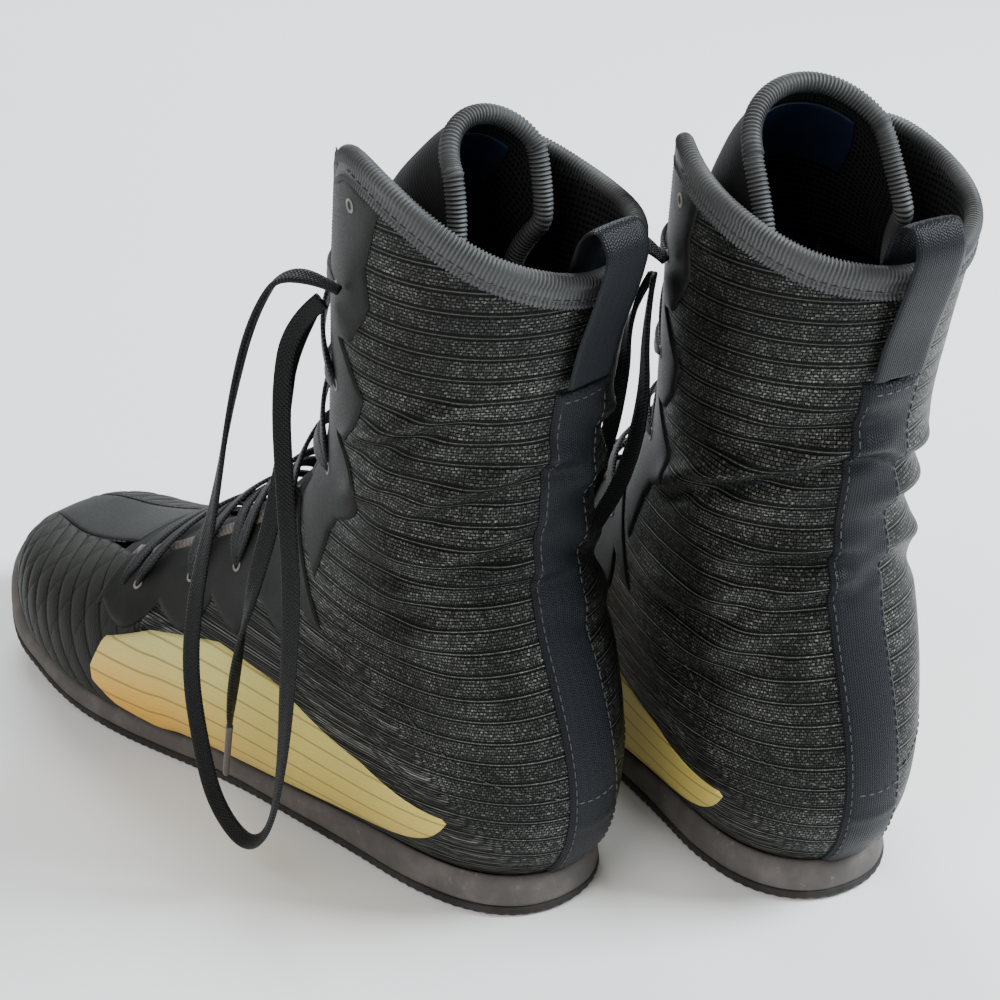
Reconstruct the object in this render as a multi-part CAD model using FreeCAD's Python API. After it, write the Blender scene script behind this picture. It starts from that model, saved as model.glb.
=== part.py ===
import FreeCAD, Part
import math
import os

# A pair of high boxing boots, standing with the toes turned a little outwards.
# Millimetres, +Z up, +Y towards the toes. The origin is on the floor, under the
# middle of the pair. Each boot is first made as a left boot in
# its own frame (heel back near y = 0, toe at +y, inner side at +x), then the
# right one is mirrored, and both are set down in their places.

SPLAY_DEG = 7.8                  # each boot's toe turns out from straight ahead
LEFT_HEEL = (-36.5, -110.48)     # where each boot's own origin stands
RIGHT_HEEL = (36.5, -163.08)

SHELL = 1.2                      # outer fabric of the upper
GAP = 0.25                       # clear space between bonded layers
FILM = 0.55                      # smooth film welded over the fabric
LINING = 1.35
COUNTER = 0.95
TAPE = 1.1                       # webbing of the backstay
TAPE_HALF = 9.5
LACE_THICK = 1.4
LACE_HALF = 3.2
TREAD = 3.2                      # rubber outsole
WALL_THICK = 2.4                 # rubber wall round the foot
WALL_CLEAR = 2.2
TAIL_DIA = 3.0                   # a loose lace end, as a round cord
AGLET_DIA = 2.4
AGLET_LONG = 21.0

# Stations of the foot form, from the toe tip round the ankle to the shaft's top:
# front (or top) point y z, back (or bottom) point y z, outer and inner half
# width, height share of the widest place, fullness below and above it, centre x.
STATIONS = [
    (286.0, 34.0, 287.0, 28.0, 8.0, 8.0, 0.45, 0.85, 0.55, 6.0),
    (279.0, 40.5, 280.0, 23.5, 24.0, 22.0, 0.40, 0.88, 0.62, 5.0),
    (263.0, 46.5, 263.0, 18.5, 36.5, 34.0, 0.36, 0.90, 0.66, 3.0),
    (240.0, 51.5, 240.0, 13.0, 45.5, 41.5, 0.34, 0.90, 0.66, 0.5),
    (211.0, 61.0, 208.0, 8.5, 50.0, 45.0, 0.32, 0.90, 0.62, 0.0),
    (182.0, 74.0, 175.0, 7.5, 48.0, 43.5, 0.32, 0.90, 0.57, 0.0),
    (157.0, 91.0, 140.0, 7.5, 42.5, 38.5, 0.31, 0.88, 0.55, -0.5),
    (137.0, 106.0, 100.0, 7.5, 39.5, 36.0, 0.33, 0.85, 0.55, -1.0),
    (122.0, 120.0, 58.0, 8.0, 39.5, 37.5, 0.37, 0.80, 0.55, -0.5),
    (111.0, 133.0, 16.0, 9.5, 40.0, 40.0, 0.46, 0.70, 0.56, 0.0),
    (103.0, 146.0, -5.0, 36.0, 39.5, 40.0, 0.50, 0.58, 0.56, 0.0),
    (97.0, 160.0, 0.0, 76.0, 38.0, 38.0, 0.46, 0.56, 0.56, 0.0),
    (93.0, 175.0, 10.5, 112.0, 37.5, 37.5, 0.46, 0.56, 0.56, 0.0),
    (90.0, 194.0, 8.5, 148.0, 38.5, 38.5, 0.47, 0.56, 0.56, 0.0),
    (87.0, 218.0, 2.0, 185.0, 40.5, 40.0, 0.48, 0.56, 0.56, 0.0),
    (83.0, 246.0, -6.0, 222.0, 42.5, 41.5, 0.48, 0.56, 0.56, 0.0),
    (78.5, 290.0, -15.0, 265.0, 44.5, 43.0, 0.48, 0.56, 0.56, 0.0),
]
LAST_STATION = len(STATIONS) - 1.0

# Lines drawn on the foot form, as pairs (s, a). s runs along the stations; a
# runs round a section: 0 sole or back seam, 1 the widest place, 2 top or front.
COLLAR = [(0.0, 15.18), (0.4, 15.25), (0.8, 15.42), (1.1, 15.58), (1.3, 15.60), (1.5, 15.48)]
THROAT = [(4.3, 1.72), (6.0, 1.70), (8.0, 1.68), (10.0, 1.62), (12.0, 1.53), (15.6, 1.46)]
EYELETS = [(4.95, 1.50), (5.95, 1.50), (6.95, 1.51), (8.3, 1.49), (10.85, 1.47), (12.83, 1.33),
           (14.12, 1.30)]
FREE_EYELET = (15.12, 1.20)


def curvature(ys):
    """Second derivatives of the natural cubic curve through evenly spaced ys."""
    n = len(ys)
    upper = [0.0] * n
    right_side = [0.0] * n
    second = [0.0] * n
    for i in range(1, n - 1):
        pivot = 4.0 - upper[i - 1]
        upper[i] = 1.0 / pivot
        right_side[i] = (6.0 * (ys[i + 1] - 2.0 * ys[i] + ys[i - 1]) - right_side[i - 1]) / pivot
    for i in range(n - 2, 0, -1):
        second[i] = right_side[i] - upper[i] * second[i + 1]
    return second


COLUMNS = [[row[k] for row in STATIONS] for k in range(len(STATIONS[0]))]
SECONDS = [curvature(column) for column in COLUMNS]


def station(s):
    s = min(max(s, 0.0), LAST_STATION)
    i = min(int(s), len(STATIONS) - 2)
    t = s - i
    u = 1.0 - t
    return [u * c[i] + t * c[i + 1] + ((u ** 3 - u) * m[i] + (t ** 3 - t) * m[i + 1]) / 6.0
            for c, m in zip(COLUMNS, SECONDS)]


def bezier(p0, p1, p2, p3, t):
    u = 1.0 - t
    return u * u * u * p0 + 3 * u * u * t * p1 + 3 * u * t * t * p2 + t * t * t * p3


def form(s, a):
    """A point of the foot form. a past 2 carries on over the top to the other side."""
    if a > 2.0:
        a -= 4.0
    if a < -2.0:
        a += 4.0
    front_y, front_z, back_y, back_z, w_out, w_in, widest, low, high, centre = station(s)
    side = -1.0 if a < 0 else 1.0
    width = w_out if a < 0 else w_in
    a = abs(a)
    if a <= 1.0:
        x = bezier(0.0, low * width, width, width, a)
        v = bezier(0.0, 0.0, widest * (1.0 - low), widest, a)
    else:
        x = bezier(0.0, high * width, width, width, 2.0 - a)
        v = bezier(1.0, 1.0, 1.0 - (1.0 - widest) * (1.0 - high), widest, 2.0 - a)
    return FreeCAD.Vector(centre + side * x, back_y + (front_y - back_y) * v,
                          back_z + (front_z - back_z) * v)


def normal(s, a):
    e = 0.004
    s_low = min(max(s - e, 0.0), LAST_STATION - 2 * e)
    along = form(s_low + 2 * e, a) - form(s_low, a)
    around = form(s, a + e) - form(s, a - e)
    out = around.cross(along)
    return out.normalize()


def skin(s, a, offset):
    return form(s, a) + normal(s, a) * offset


def follow(line, x):
    """Value of a line of (x, y) pairs at x, eased between its points."""
    if x <= line[0][0]:
        return line[0][1]
    for (x0, y0), (x1, y1) in zip(line, line[1:]):
        if x <= x1:
            t = (x - x0) / (x1 - x0)
            return y0 + (y1 - y0) * t
    return line[-1][1]


def step(x, low, high):
    t = min(max((x - low) / (high - low), 0.0), 1.0)
    return t * t * (3.0 - 2.0 * t)


def surface(grid):
    patch = Part.BSplineSurface()
    patch.interpolate(grid)
    return patch


def sheet_solid(outer, inner):
    """Closed solid between two grids of points that match row by row."""
    top = surface(outer)
    bottom = surface(inner)
    edges = []
    for patch in (top, bottom):
        u0, u1, v0, v1 = patch.bounds()
        edges.append([patch.uIso(u0), patch.vIso(v1), patch.uIso(u1), patch.vIso(v0)])
    faces = [top.toShape(), bottom.toShape()]
    for a, b in zip(edges[0], edges[1]):
        faces.append(Part.makeRuledSurface(a.toShape(), b.toShape()))
    return closed(faces)


def closed(faces):
    joined = Part.makeCompound(faces)
    joined.sewShape()
    shell = joined.Shells[0] if joined.Shells else Part.Shell(joined.Faces)
    solid = Part.Solid(shell)
    if solid.Volume < 0:
        solid.reverse()
    return solid


def ring_solid(outer, inner):
    """Closed ring between two bands of points; each band's last column is its first."""
    faces = []
    half = (len(outer) - 1) // 2
    for lo, hi in ((0, half), (half, len(outer) - 1)):
        top = surface(outer[lo:hi + 1])
        bottom = surface(inner[lo:hi + 1])
        faces += [top.toShape(), bottom.toShape()]
        v0, v1 = top.bounds()[2:]
        for v in (v0, v1):
            faces.append(Part.makeRuledSurface(top.vIso(v).toShape(), bottom.vIso(v).toShape()))
    return closed(faces)


def panel(place, low, high, rows, columns):
    """A layer of the upper. place(u, v) gives (s, a); low and high are its offsets."""
    grids = []
    for offset in (high, low):
        grids.append([[skin(*place(i / rows, j / columns), offset) for j in range(columns + 1)]
                      for i in range(rows + 1)])
    return sheet_solid(grids[0], grids[1])


def collar_station(a, drop=0.0):
    return follow(COLLAR, abs(a)) - drop


def throat_edge(s):
    return follow(THROAT, s)


def sole_edge(s):
    """Where the side panels end below: under the foot, then at the back seam."""
    return 0.30 - 0.285 * step(s, 8.7, 9.6)


def side_panel(side, low, high, s_first, a_margin=0.0, drop=0.0):
    """One side of the quarter and shaft, from the sole to the throat and collar."""
    def place(u, v):
        s_top = collar_station(1.46 * v, drop)
        s = s_first + (s_top - s_first) * u
        a_low = sole_edge(s) + a_margin * 0.2
        a_high = throat_edge(s) - a_margin
        return s, side * (a_low + (a_high - a_low) * v)
    return panel(place, low, high, 40, 20)


def forefoot(side):
    """Fabric beside the toe, up to the toe panel and then to the throat."""
    def place(u, v):
        s = 0.3 + 4.9 * u
        a_high = 1.80 - 0.10 * step(s, 3.4, 4.6)
        return s, side * (0.30 + (a_high - 0.30) * v)
    return panel(place, 0.0, SHELL, 30, 22)


def toe_panel():
    def place(u, v):
        return 0.3 + 3.75 * u, 1.82 + 0.36 * v
    return panel(place, 0.0, SHELL, 10, 6)


def vamp_overlay(side):
    """Smooth film that carries the lower eyelets; its lower edge is scalloped."""
    def place(u, v):
        s = 4.35 + 4.45 * u
        a_low = 1.38 - 0.07 * math.sin(math.pi * 3.0 * u) ** 2
        return s, side * (a_low + (throat_edge(s) - 0.02 - a_low) * v)
    return panel(place, SHELL + GAP, SHELL + GAP + FILM, 30, 8)


def eyestay(side):
    """Smooth film up the front edge of the shaft, with a waved rear edge."""
    def place(u, v):
        s = 9.3 + (collar_station(1.3, 0.42) - 9.3) * u
        wave = 0.045 * math.sin(2.0 * math.pi * (2.5 * u + 0.1))
        a_low = 1.24 - 0.12 * u + wave
        return s, side * (a_low + (throat_edge(s) - 0.02 - a_low) * v)
    return panel(place, SHELL + GAP, SHELL + GAP + FILM, 34, 8)


def heel_counter():
    """Stiffener between the outer fabric and the lining, round the heel."""
    def place(u, v):
        a = -0.92 + 1.84 * v
        s_low = 9.35 - 0.35 * abs(a)
        return s_low + (10.75 - s_low) * u, a
    return panel(place, -GAP - COUNTER, -GAP, 10, 18)


def lining(side):
    top = -GAP * 2 - COUNTER
    return side_panel(side, top - LINING, top, 0.55, 0.03, 0.02)


def insole_board():
    """Board under the foot that closes the upper."""
    def place(u, v):
        s = 0.35 + 8.55 * u
        return s, -0.27 + 0.54 * v
    return panel(place, 0.0, SHELL, 30, 8)


def sockliner():
    def place(u, v):
        s = 0.75 + 8.1 * u
        return s, -0.42 + 0.84 * v
    return panel(place, -6.0, -2.9, 22, 8)


def collar_binding():
    """Ribbed binding: a flat band on the outside and a padded rim over the edge."""
    def band(u, v):
        a = -1.44 + 2.88 * v
        return collar_station(a, 0.34 * (1.0 - u) + 0.01), a

    def rim(u, v):
        a = -1.44 + 2.88 * v
        return collar_station(a, -0.02 - 0.10 * u), a
    flat = panel(band, SHELL + GAP, SHELL + GAP + 0.9, 4, 30)
    roll = panel(rim, -3.1, SHELL + GAP + 0.9, 3, 30)
    return Part.makeCompound([flat, roll])


def backstay():
    """Webbing up the back seam, from the sole to where the pull loop starts."""
    def place(u, v):
        s = 9.45 + 4.55 * u
        return s, tape_a(s) * (2.0 * v - 1.0)
    return panel(place, SHELL + GAP, SHELL + GAP + TAPE, 22, 6)


def tape_a(s):
    """Half width of the back webbing, as a share of the section."""
    width = station(s)[4]
    low = station(s)[7]
    return TAPE_HALF / (3.0 * low * width) * 1.12


def feather(samples=30):
    """Closed plan line round the foot where the upper meets the top of the wall."""
    outer_side = []
    inner_side = []
    for k in range(samples + 1):
        s = 0.35 + (8.9 - 0.35) * k / samples
        for side, points in ((-1, outer_side), (1, inner_side)):
            low, high = 0.2, 1.2
            for _ in range(24):
                middle = 0.5 * (low + high)
                if form(s, side * middle).z > wall_top(form(s, side * middle).y) + 1.0:
                    high = middle
                else:
                    low = middle
            points.append(form(s, side * low))
    heel = []
    for k in range(-3, 4):
        a = 0.13 * k
        low, high = 8.6, 10.2
        for _ in range(24):
            middle = 0.5 * (low + high)
            if form(middle, a).z > wall_top(0.0) + 1.0:
                high = middle
            else:
                low = middle
        heel.append(form(low, a))
    toe = [form(0.0, a) for a in (1.0, -1.0)]
    line = heel[3:] + inner_side[::-1][2:] + toe + outer_side[:-2] + heel[:3]
    curve = Part.BSplineCurve()
    curve.interpolate([FreeCAD.Vector(p.x, p.y, 0.0) for p in line], True)
    return curve.discretize(73)[:-1]


def floor_line(y):
    """Height of the underside: flat, then the toe springs up; the heel lifts a little."""
    return 19.0 * max(0.0, (y - 190.0) / 100.0) ** 1.7 + 1.2 * max(0.0, (14.0 - y) / 18.0) ** 2


def wall_top(y):
    """Height of the top of the rubber wall."""
    heel = 13.5 - 3.5 * step(y, 40.0, 130.0)
    return heel + 0.93 * floor_line(max(y, 100.0)) + 8.0 * step(y, 235.0, 285.0)


def plan_offset(points, distance):
    """Push a closed plan line outwards, square to itself."""
    moved = []
    n = len(points)
    for i in range(n):
        along = points[(i + 1) % n] - points[i - 1]
        out = FreeCAD.Vector(along.y, -along.x, 0.0).normalize()
        moved.append(points[i] + out * distance)
    return moved


def at_height(point, z):
    return FreeCAD.Vector(point.x, point.y, z)


def sole_wall():
    """Rubber wall glued round the foot; it rises to guard the toe."""
    line = feather()
    bands = []
    for distance in (WALL_CLEAR + WALL_THICK, WALL_CLEAR):
        band = []
        for p in plan_offset(line, distance):
            foot = floor_line(p.y) + TREAD + GAP
            top = max(wall_top(p.y), foot + 3.0)
            band.append([at_height(p, foot + (top - foot) * k / 3.0) for k in range(4)])
        band.append(band[0])
        bands.append(band)
    return ring_solid(bands[0], bands[1])


def sole_plate(inset, low, high):
    """A flat layer of the sole that follows the floor line, rounded at both ends."""
    line = plan_offset(feather(), WALL_CLEAR + WALL_THICK - inset)
    count = len(line)
    half = count // 2
    rows = []
    for k in range(1, half):
        inner = line[k]
        outer = line[count - k]
        bulge = 1.3 * (step(k, half - 2.5, half - 1.0) - step(-k, -2.5, -1.0))
        row = []
        for j in range(9):
            v = j / 8.0
            p = inner + (outer - inner) * v
            y = p.y + bulge * 4.0 * v * (1.0 - v)
            row.append(FreeCAD.Vector(p.x, y, floor_line(p.y)))
        rows.append(row)
    grids = []
    for z in (high, low):
        grids.append([[FreeCAD.Vector(p.x, p.y, p.z + z) for p in row] for row in rows])
    return sheet_solid(grids[0], grids[1])


def outsole():
    """Rubber tread; the boot stands on its flat part, which is trimmed level."""
    tread = sole_plate(0.0, -0.25, TREAD)
    below = Part.makeBox(400.0, 600.0, 20.0, FreeCAD.Vector(-200.0, -150.0, -20.0))
    return tread.cut(below)


def ribbon(start, end, low, high):
    """A flat lace run over the throat between two places (s, a)."""
    middle = form(0.5 * (start[0] + end[0]), 2.0)
    ahead = form(0.5 * (start[0] + end[0]) + 0.05, 2.0)
    per_station = (ahead - middle).Length / 0.05
    rise = end[0] - start[0]
    span = 60.0
    half = LACE_HALF / per_station * math.hypot(1.0, rise * per_station / span)

    def place(u, v):
        s = start[0] + rise * u + half * (2.0 * v - 1.0)
        return s, start[1] + (end[1] - start[1]) * u
    return panel(place, low, high, 14, 3)


def lacing():
    """The threaded part of the lace: a bar at the bottom, then crossings."""
    first = 2.75
    second = first + LACE_THICK + 0.2
    runs = [ribbon((4.66, 1.52), (4.66, 2.48), first, first + LACE_THICK)]
    for (s0, a0), (s1, a1) in zip(EYELETS, EYELETS[1:]):
        runs.append(ribbon((s0, a0), (s1, 4.0 - a1), first, first + LACE_THICK))
        runs.append(ribbon((s0, 4.0 - a0), (s1, a1), second, second + LACE_THICK))
    return Part.makeCompound(runs)


def eyelets():
    """Reinforcing rings of the punched lace holes, on both sides."""
    rings = []
    for s, a in EYELETS + [FREE_EYELET]:
        for side in (-1, 1):
            base = skin(s, side * a, SHELL + 2 * GAP + FILM + 0.05)
            out = normal(s, side * a)
            ring = Part.makeCylinder(2.6, 0.25, base, out).cut(Part.makeCylinder(1.5, 1.0, base, out))
            rings.append(ring)
    return Part.makeCompound(rings)


def side_print(side, lines):
    """Thin coloured film on the side of the foot: one swept blade."""
    def place(u, v):
        s = lines[0][0] + (lines[1][0] - lines[0][0]) * u
        low = follow(lines[2], s)
        high = follow(lines[3], s)
        return s, side * (low + (high - low) * v)
    return panel(place, SHELL + 0.45, SHELL + 0.8, 34, 10)


BLADE = ((4.5, 0.80), (9.1, 0.62),
         [(4.5, 0.80), (5.4, 0.62), (7.0, 0.60), (8.2, 0.60), (9.1, 0.60)],
         [(4.5, 1.24), (5.4, 1.26), (7.0, 1.22), (8.2, 1.02), (9.1, 0.66)])


def tongue_point(kind, u, v, offset):
    """The free top of the tongue; it leans back and its sides curl to the rear."""
    top_x, top_y, top_z, half, radius = kind
    base = FreeCAD.Vector(0.0, 81.0, 221.0)
    top = FreeCAD.Vector(top_x, top_y, top_z)
    knee = FreeCAD.Vector(0.35 * top_x, 0.5 * (81.0 + top_y) + 6.0, 0.5 * (221.0 + top_z) + 2.0)
    w = 1.0 - u
    middle = base * (w * w) + knee * (2.0 * u * w) + top * (u * u)
    along = ((knee - base) * w + (top - knee) * u).normalize()
    width = (24.0 + (half - 24.0) * step(u, 0.0, 0.6)) * (1.0 - 0.42 * step(u, 0.62, 1.35))
    angle = v * width / radius
    back = FreeCAD.Vector(1.0, 0.0, 0.0).cross(along).normalize()
    reach = radius + offset
    return middle + FreeCAD.Vector(reach * math.sin(angle), 0.0, 0.0) + back * (
        radius - reach * math.cos(angle))


def tongue_sheet(kind, u_range, v_range, low, high, rows, columns):
    grids = []
    for offset in (high, low):
        grids.append([[tongue_point(kind, u_range[0] + (u_range[1] - u_range[0]) * i / rows,
                                    v_range[0] + (v_range[1] - v_range[0]) * j / columns, offset)
                       for j in range(columns + 1)] for i in range(rows + 1)])
    return sheet_solid(grids[0], grids[1])


def tongue_rim(kind):
    """Ribbed binding round the free edge: two sides and the top."""
    sides = [tongue_sheet(kind, (0.12, 1.0), edge, -2.9, 2.9, 10, 2)
             for edge in ((-1.12, -1.01), (1.01, 1.12))]
    top = tongue_sheet(kind, (1.012, 1.10), (-1.12, 1.12), -2.9, 2.9, 2, 12)
    return Part.makeCompound(sides + [top])


def tongue_lower():
    """The part of the tongue that the laces hold down, under both sides."""
    def place(u, v):
        s = 4.35 + 9.5 * u
        half = 0.40 + 0.10 * step(s, 6.0, 12.0)
        return s, 2.0 + half * (2.0 * v - 1.0)
    return panel(place, -6.4, -3.9, 34, 10)


LOOP_PATH = [(-2.1, 190.5), (-5.6, 204.0), (-10.6, 219.0), (-14.6, 232.0), (-15.4, 242.0),
             (-9.6, 248.4), (-3.4, 243.0), (-1.2, 232.0), (2.2, 221.0), (4.6, 209.0)]


def pull_loop():
    """Webbing loop over the collar at the back, for pulling the boot on."""
    middle = Part.BSplineCurve()
    middle.interpolate([FreeCAD.Vector(-9.0, y, z) for y, z in LOOP_PATH])
    first, last = middle.FirstParameter, middle.LastParameter
    sides = []
    for offset in (0.6, -0.6):
        side = []
        for i in range(41):
            t = first + (last - first) * i / 40.0
            along = middle.tangent(t)[0]
            side.append(middle.value(t) + FreeCAD.Vector(0.0, -along.z, along.y) * offset)
        curve = Part.BSplineCurve()
        curve.interpolate(side)
        sides.append(curve)
    ends = [Part.LineSegment(sides[0].value(sides[0].LastParameter),
                             sides[1].value(sides[1].LastParameter)).toShape(),
            Part.LineSegment(sides[1].value(sides[1].FirstParameter),
                             sides[0].value(sides[0].FirstParameter)).toShape()]
    outline = Part.Wire([sides[0].toShape(), ends[0], sides[1].toShape().reversed(), ends[1]])
    return Part.Face(outline).extrude(FreeCAD.Vector(18.0, 0.0, 0.0))


def cord(points, diameter):
    """A round cord along straight runs that are joined by tangent arcs."""
    pts = [FreeCAD.Vector(*p) for p in points]
    edges = []
    at = pts[0]
    tightest = 1e9
    for before, corner, after in zip(pts, pts[1:], pts[2:]):
        back = (before - corner)
        on = (after - corner)
        short = min(back.Length, on.Length)
        turn = math.pi - back.getAngle(on)
        radius = 0.45 * short / math.tan(turn / 2.0)
        tightest = min(tightest, radius)
        reach = 0.45 * short
        back.normalize()
        on.normalize()
        start = corner + back * reach
        end = corner + on * reach
        centre = corner + (back + on).normalize() * (radius / math.cos(turn / 2.0))
        middle = centre + (corner - centre).normalize() * radius
        edges.append(Part.LineSegment(at, start).toShape())
        edges.append(Part.Arc(start, middle, end).toShape())
        at = end
    edges.append(Part.LineSegment(at, pts[-1]).toShape())
    wire = Part.Wire(edges)
    heading = pts[1] - pts[0]
    disc = Part.Face(Part.Wire(Part.Circle(pts[0], heading, diameter / 2.0).toShape()))
    tube = Part.Solid(wire.makePipeShell([disc.OuterWire], True, False).Shells[0])
    if tube.Volume < 0:
        tube.reverse()
    section = math.pi * diameter * diameter / 4.0
    print("cord: length %.1f tightest radius %.1f volume ratio %.3f"
          % (wire.Length, tightest, tube.Volume / (section * wire.Length)))
    return tube


def aglet(route):
    """Hard tip on the end of a lace."""
    end = FreeCAD.Vector(*route[-1])
    return Part.makeCylinder(AGLET_DIA / 2.0, AGLET_LONG, end, end - FreeCAD.Vector(*route[-2]))


# Routes of the loose lace ends, in the boot's own frame (outer side at -x).
LEFT_LOOP = [(-42.2, 58.0, 214.0), (-46.0, 76.0, 219.0), (-51.0, 88.0, 200.0),
             (-57.0, 94.0, 170.0), (-62.0, 98.0, 138.0), (-66.0, 106.0, 106.0),
             (-69.0, 110.0, 74.0), (-71.0, 104.0, 45.0), (-72.0, 97.0, 27.0),
             (-72.0, 82.0, 18.0), (-72.0, 69.0, 31.0), (-71.0, 62.0, 60.0),
             (-69.0, 59.0, 92.0), (-66.0, 58.0, 124.0), (-61.0, 65.0, 154.0),
             (-55.0, 72.0, 181.0), (-48.0, 74.0, 200.0), (-43.0, 65.0, 209.0)]
LEFT_TAIL = [(-37.0, 73.0, 203.5), (-45.0, 78.0, 190.0), (-50.0, 75.0, 168.0),
             (-54.0, 79.0, 138.0), (-58.0, 88.0, 108.0), (-60.0, 98.0, 74.0),
             (-60.5, 102.0, 50.0)]
RIGHT_LOOP = [(42.2, 58.0, 214.0), (43.5, 76.0, 219.0), (43.5, 88.0, 202.0),
              (44.0, 88.0, 172.0), (44.0, 96.0, 146.0), (45.0, 112.0, 122.0),
              (47.5, 132.0, 100.0), (50.5, 150.0, 78.0), (52.5, 163.0, 56.0),
              (52.5, 160.0, 39.0), (51.5, 144.0, 36.0), (49.0, 128.0, 54.0),
              (46.0, 112.0, 80.0), (44.0, 94.0, 106.0), (43.0, 76.0, 134.0),
              (43.0, 66.0, 164.0), (43.5, 66.0, 190.0), (42.0, 64.0, 207.0)]
RIGHT_TAIL = [(37.0, 73.0, 203.5), (42.0, 77.0, 190.0), (43.0, 80.0, 166.0),
              (43.0, 88.0, 138.0), (43.5, 102.0, 112.0), (45.0, 118.0, 88.0),
              (47.5, 130.0, 66.0)]

# Free top of each tongue: top centre x y z, half width, radius of the curl.
LEFT_TONGUE = (7.0, 44.0, 253.0, 28.0, 25.0)
RIGHT_TONGUE = (2.0, 46.0, 260.0, 36.0, 33.0)


def boot(tongue, loop_route, tail_route):
    """All pieces of one boot, in the left boot's frame."""
    pieces = {
        "outsole": outsole(),
        "midsole": sole_plate(WALL_THICK + 0.4, TREAD + GAP, TREAD + GAP + 1.2),
        "sole_wall": sole_wall(),
        "insole_board": insole_board(),
        "sockliner": sockliner(),
        "quarter_lateral": side_panel(-1, 0.0, SHELL, 5.35),
        "quarter_medial": side_panel(1, 0.0, SHELL, 5.35),
        "forefoot_lateral": forefoot(-1),
        "forefoot_medial": forefoot(1),
        "toe_panel": toe_panel(),
        "vamp_overlay_lateral": vamp_overlay(-1),
        "vamp_overlay_medial": vamp_overlay(1),
        "eyestay_lateral": eyestay(-1),
        "eyestay_medial": eyestay(1),
        "heel_counter": heel_counter(),
        "lining_lateral": lining(-1),
        "lining_medial": lining(1),
        "collar_binding": collar_binding(),
        "backstay": backstay(),
        "tongue_lower": tongue_lower(),
        "tongue_upper": tongue_sheet(tongue, (0.0, 1.0), (-1.0, 1.0), -2.2, 2.2, 12, 12),
        "tongue_binding": tongue_rim(tongue),
        "tongue_label": tongue_sheet(tongue, (0.40, 0.88), (-0.55, 0.55), -2.75, -2.35, 6, 6),
        "pull_loop": pull_loop(),
        "lacing": lacing(),
        "eyelets": eyelets(),
        "side_print": Part.makeCompound([side_print(-1, BLADE), side_print(1, BLADE)]),
        "lace_loop": cord(loop_route, TAIL_DIA),
        "lace_tail": cord(tail_route, TAIL_DIA),
        "aglet": aglet(tail_route),
    }
    return pieces


def place_boot(pieces, prefix, mirrored, heel, turn):
    place = FreeCAD.Placement(FreeCAD.Vector(heel[0], heel[1], 0.0),
                              FreeCAD.Rotation(FreeCAD.Vector(0, 0, 1), turn))
    for name, shape in pieces.items():
        if mirrored:
            shape = shape.mirror(FreeCAD.Vector(0, 0, 0), FreeCAD.Vector(1, 0, 0))
        shape = shape.transformed(place.toMatrix(), True)
        shape.exportStep("parts/" + prefix + name + ".step")


os.makedirs("parts", exist_ok=True)
place_boot(boot(LEFT_TONGUE, LEFT_LOOP, LEFT_TAIL), "left_", False, LEFT_HEEL, SPLAY_DEG)
place_boot(boot(RIGHT_TONGUE, RIGHT_LOOP, RIGHT_TAIL), "right_", True, RIGHT_HEEL, -SPLAY_DEG)
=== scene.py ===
import math

import bpy
import numpy as np
from mathutils import Matrix, Vector


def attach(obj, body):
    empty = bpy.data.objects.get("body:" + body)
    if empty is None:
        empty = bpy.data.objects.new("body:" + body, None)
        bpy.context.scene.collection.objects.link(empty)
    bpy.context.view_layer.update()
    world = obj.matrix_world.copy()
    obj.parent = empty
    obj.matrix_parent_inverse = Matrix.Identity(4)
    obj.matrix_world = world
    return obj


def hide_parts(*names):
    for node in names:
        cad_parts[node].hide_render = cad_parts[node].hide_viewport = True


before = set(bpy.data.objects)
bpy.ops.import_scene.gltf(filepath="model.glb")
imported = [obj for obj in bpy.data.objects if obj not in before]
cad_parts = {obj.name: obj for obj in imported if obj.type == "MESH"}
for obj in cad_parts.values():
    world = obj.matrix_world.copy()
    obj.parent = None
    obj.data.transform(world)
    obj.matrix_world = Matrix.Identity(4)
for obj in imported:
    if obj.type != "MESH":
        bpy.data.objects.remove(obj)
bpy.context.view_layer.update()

# A pair of high boxing boots. Every layer of the upper lies on one foot form: a
# place on it is (s, a), where s runs along the stations from the toe tip round the
# ankle to the shaft's top, and a runs round a section: 0 sole or back seam, 1 the
# widest place, 2 top or front; minus is the outer side. Each boot is worked out as
# a left boot in millimetres (heel back at y = 0, toe at +y, inner side at +x).

SPLAY = math.radians(7.8)
HEELS = {"left_": (-36.5, -110.48), "right_": (36.5, -163.08)}
SHELL, GAP, FILM = 1.2, 0.25, 0.55
RIB_PITCH = 7.3                    # heavy ribs of the ripstop

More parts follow.
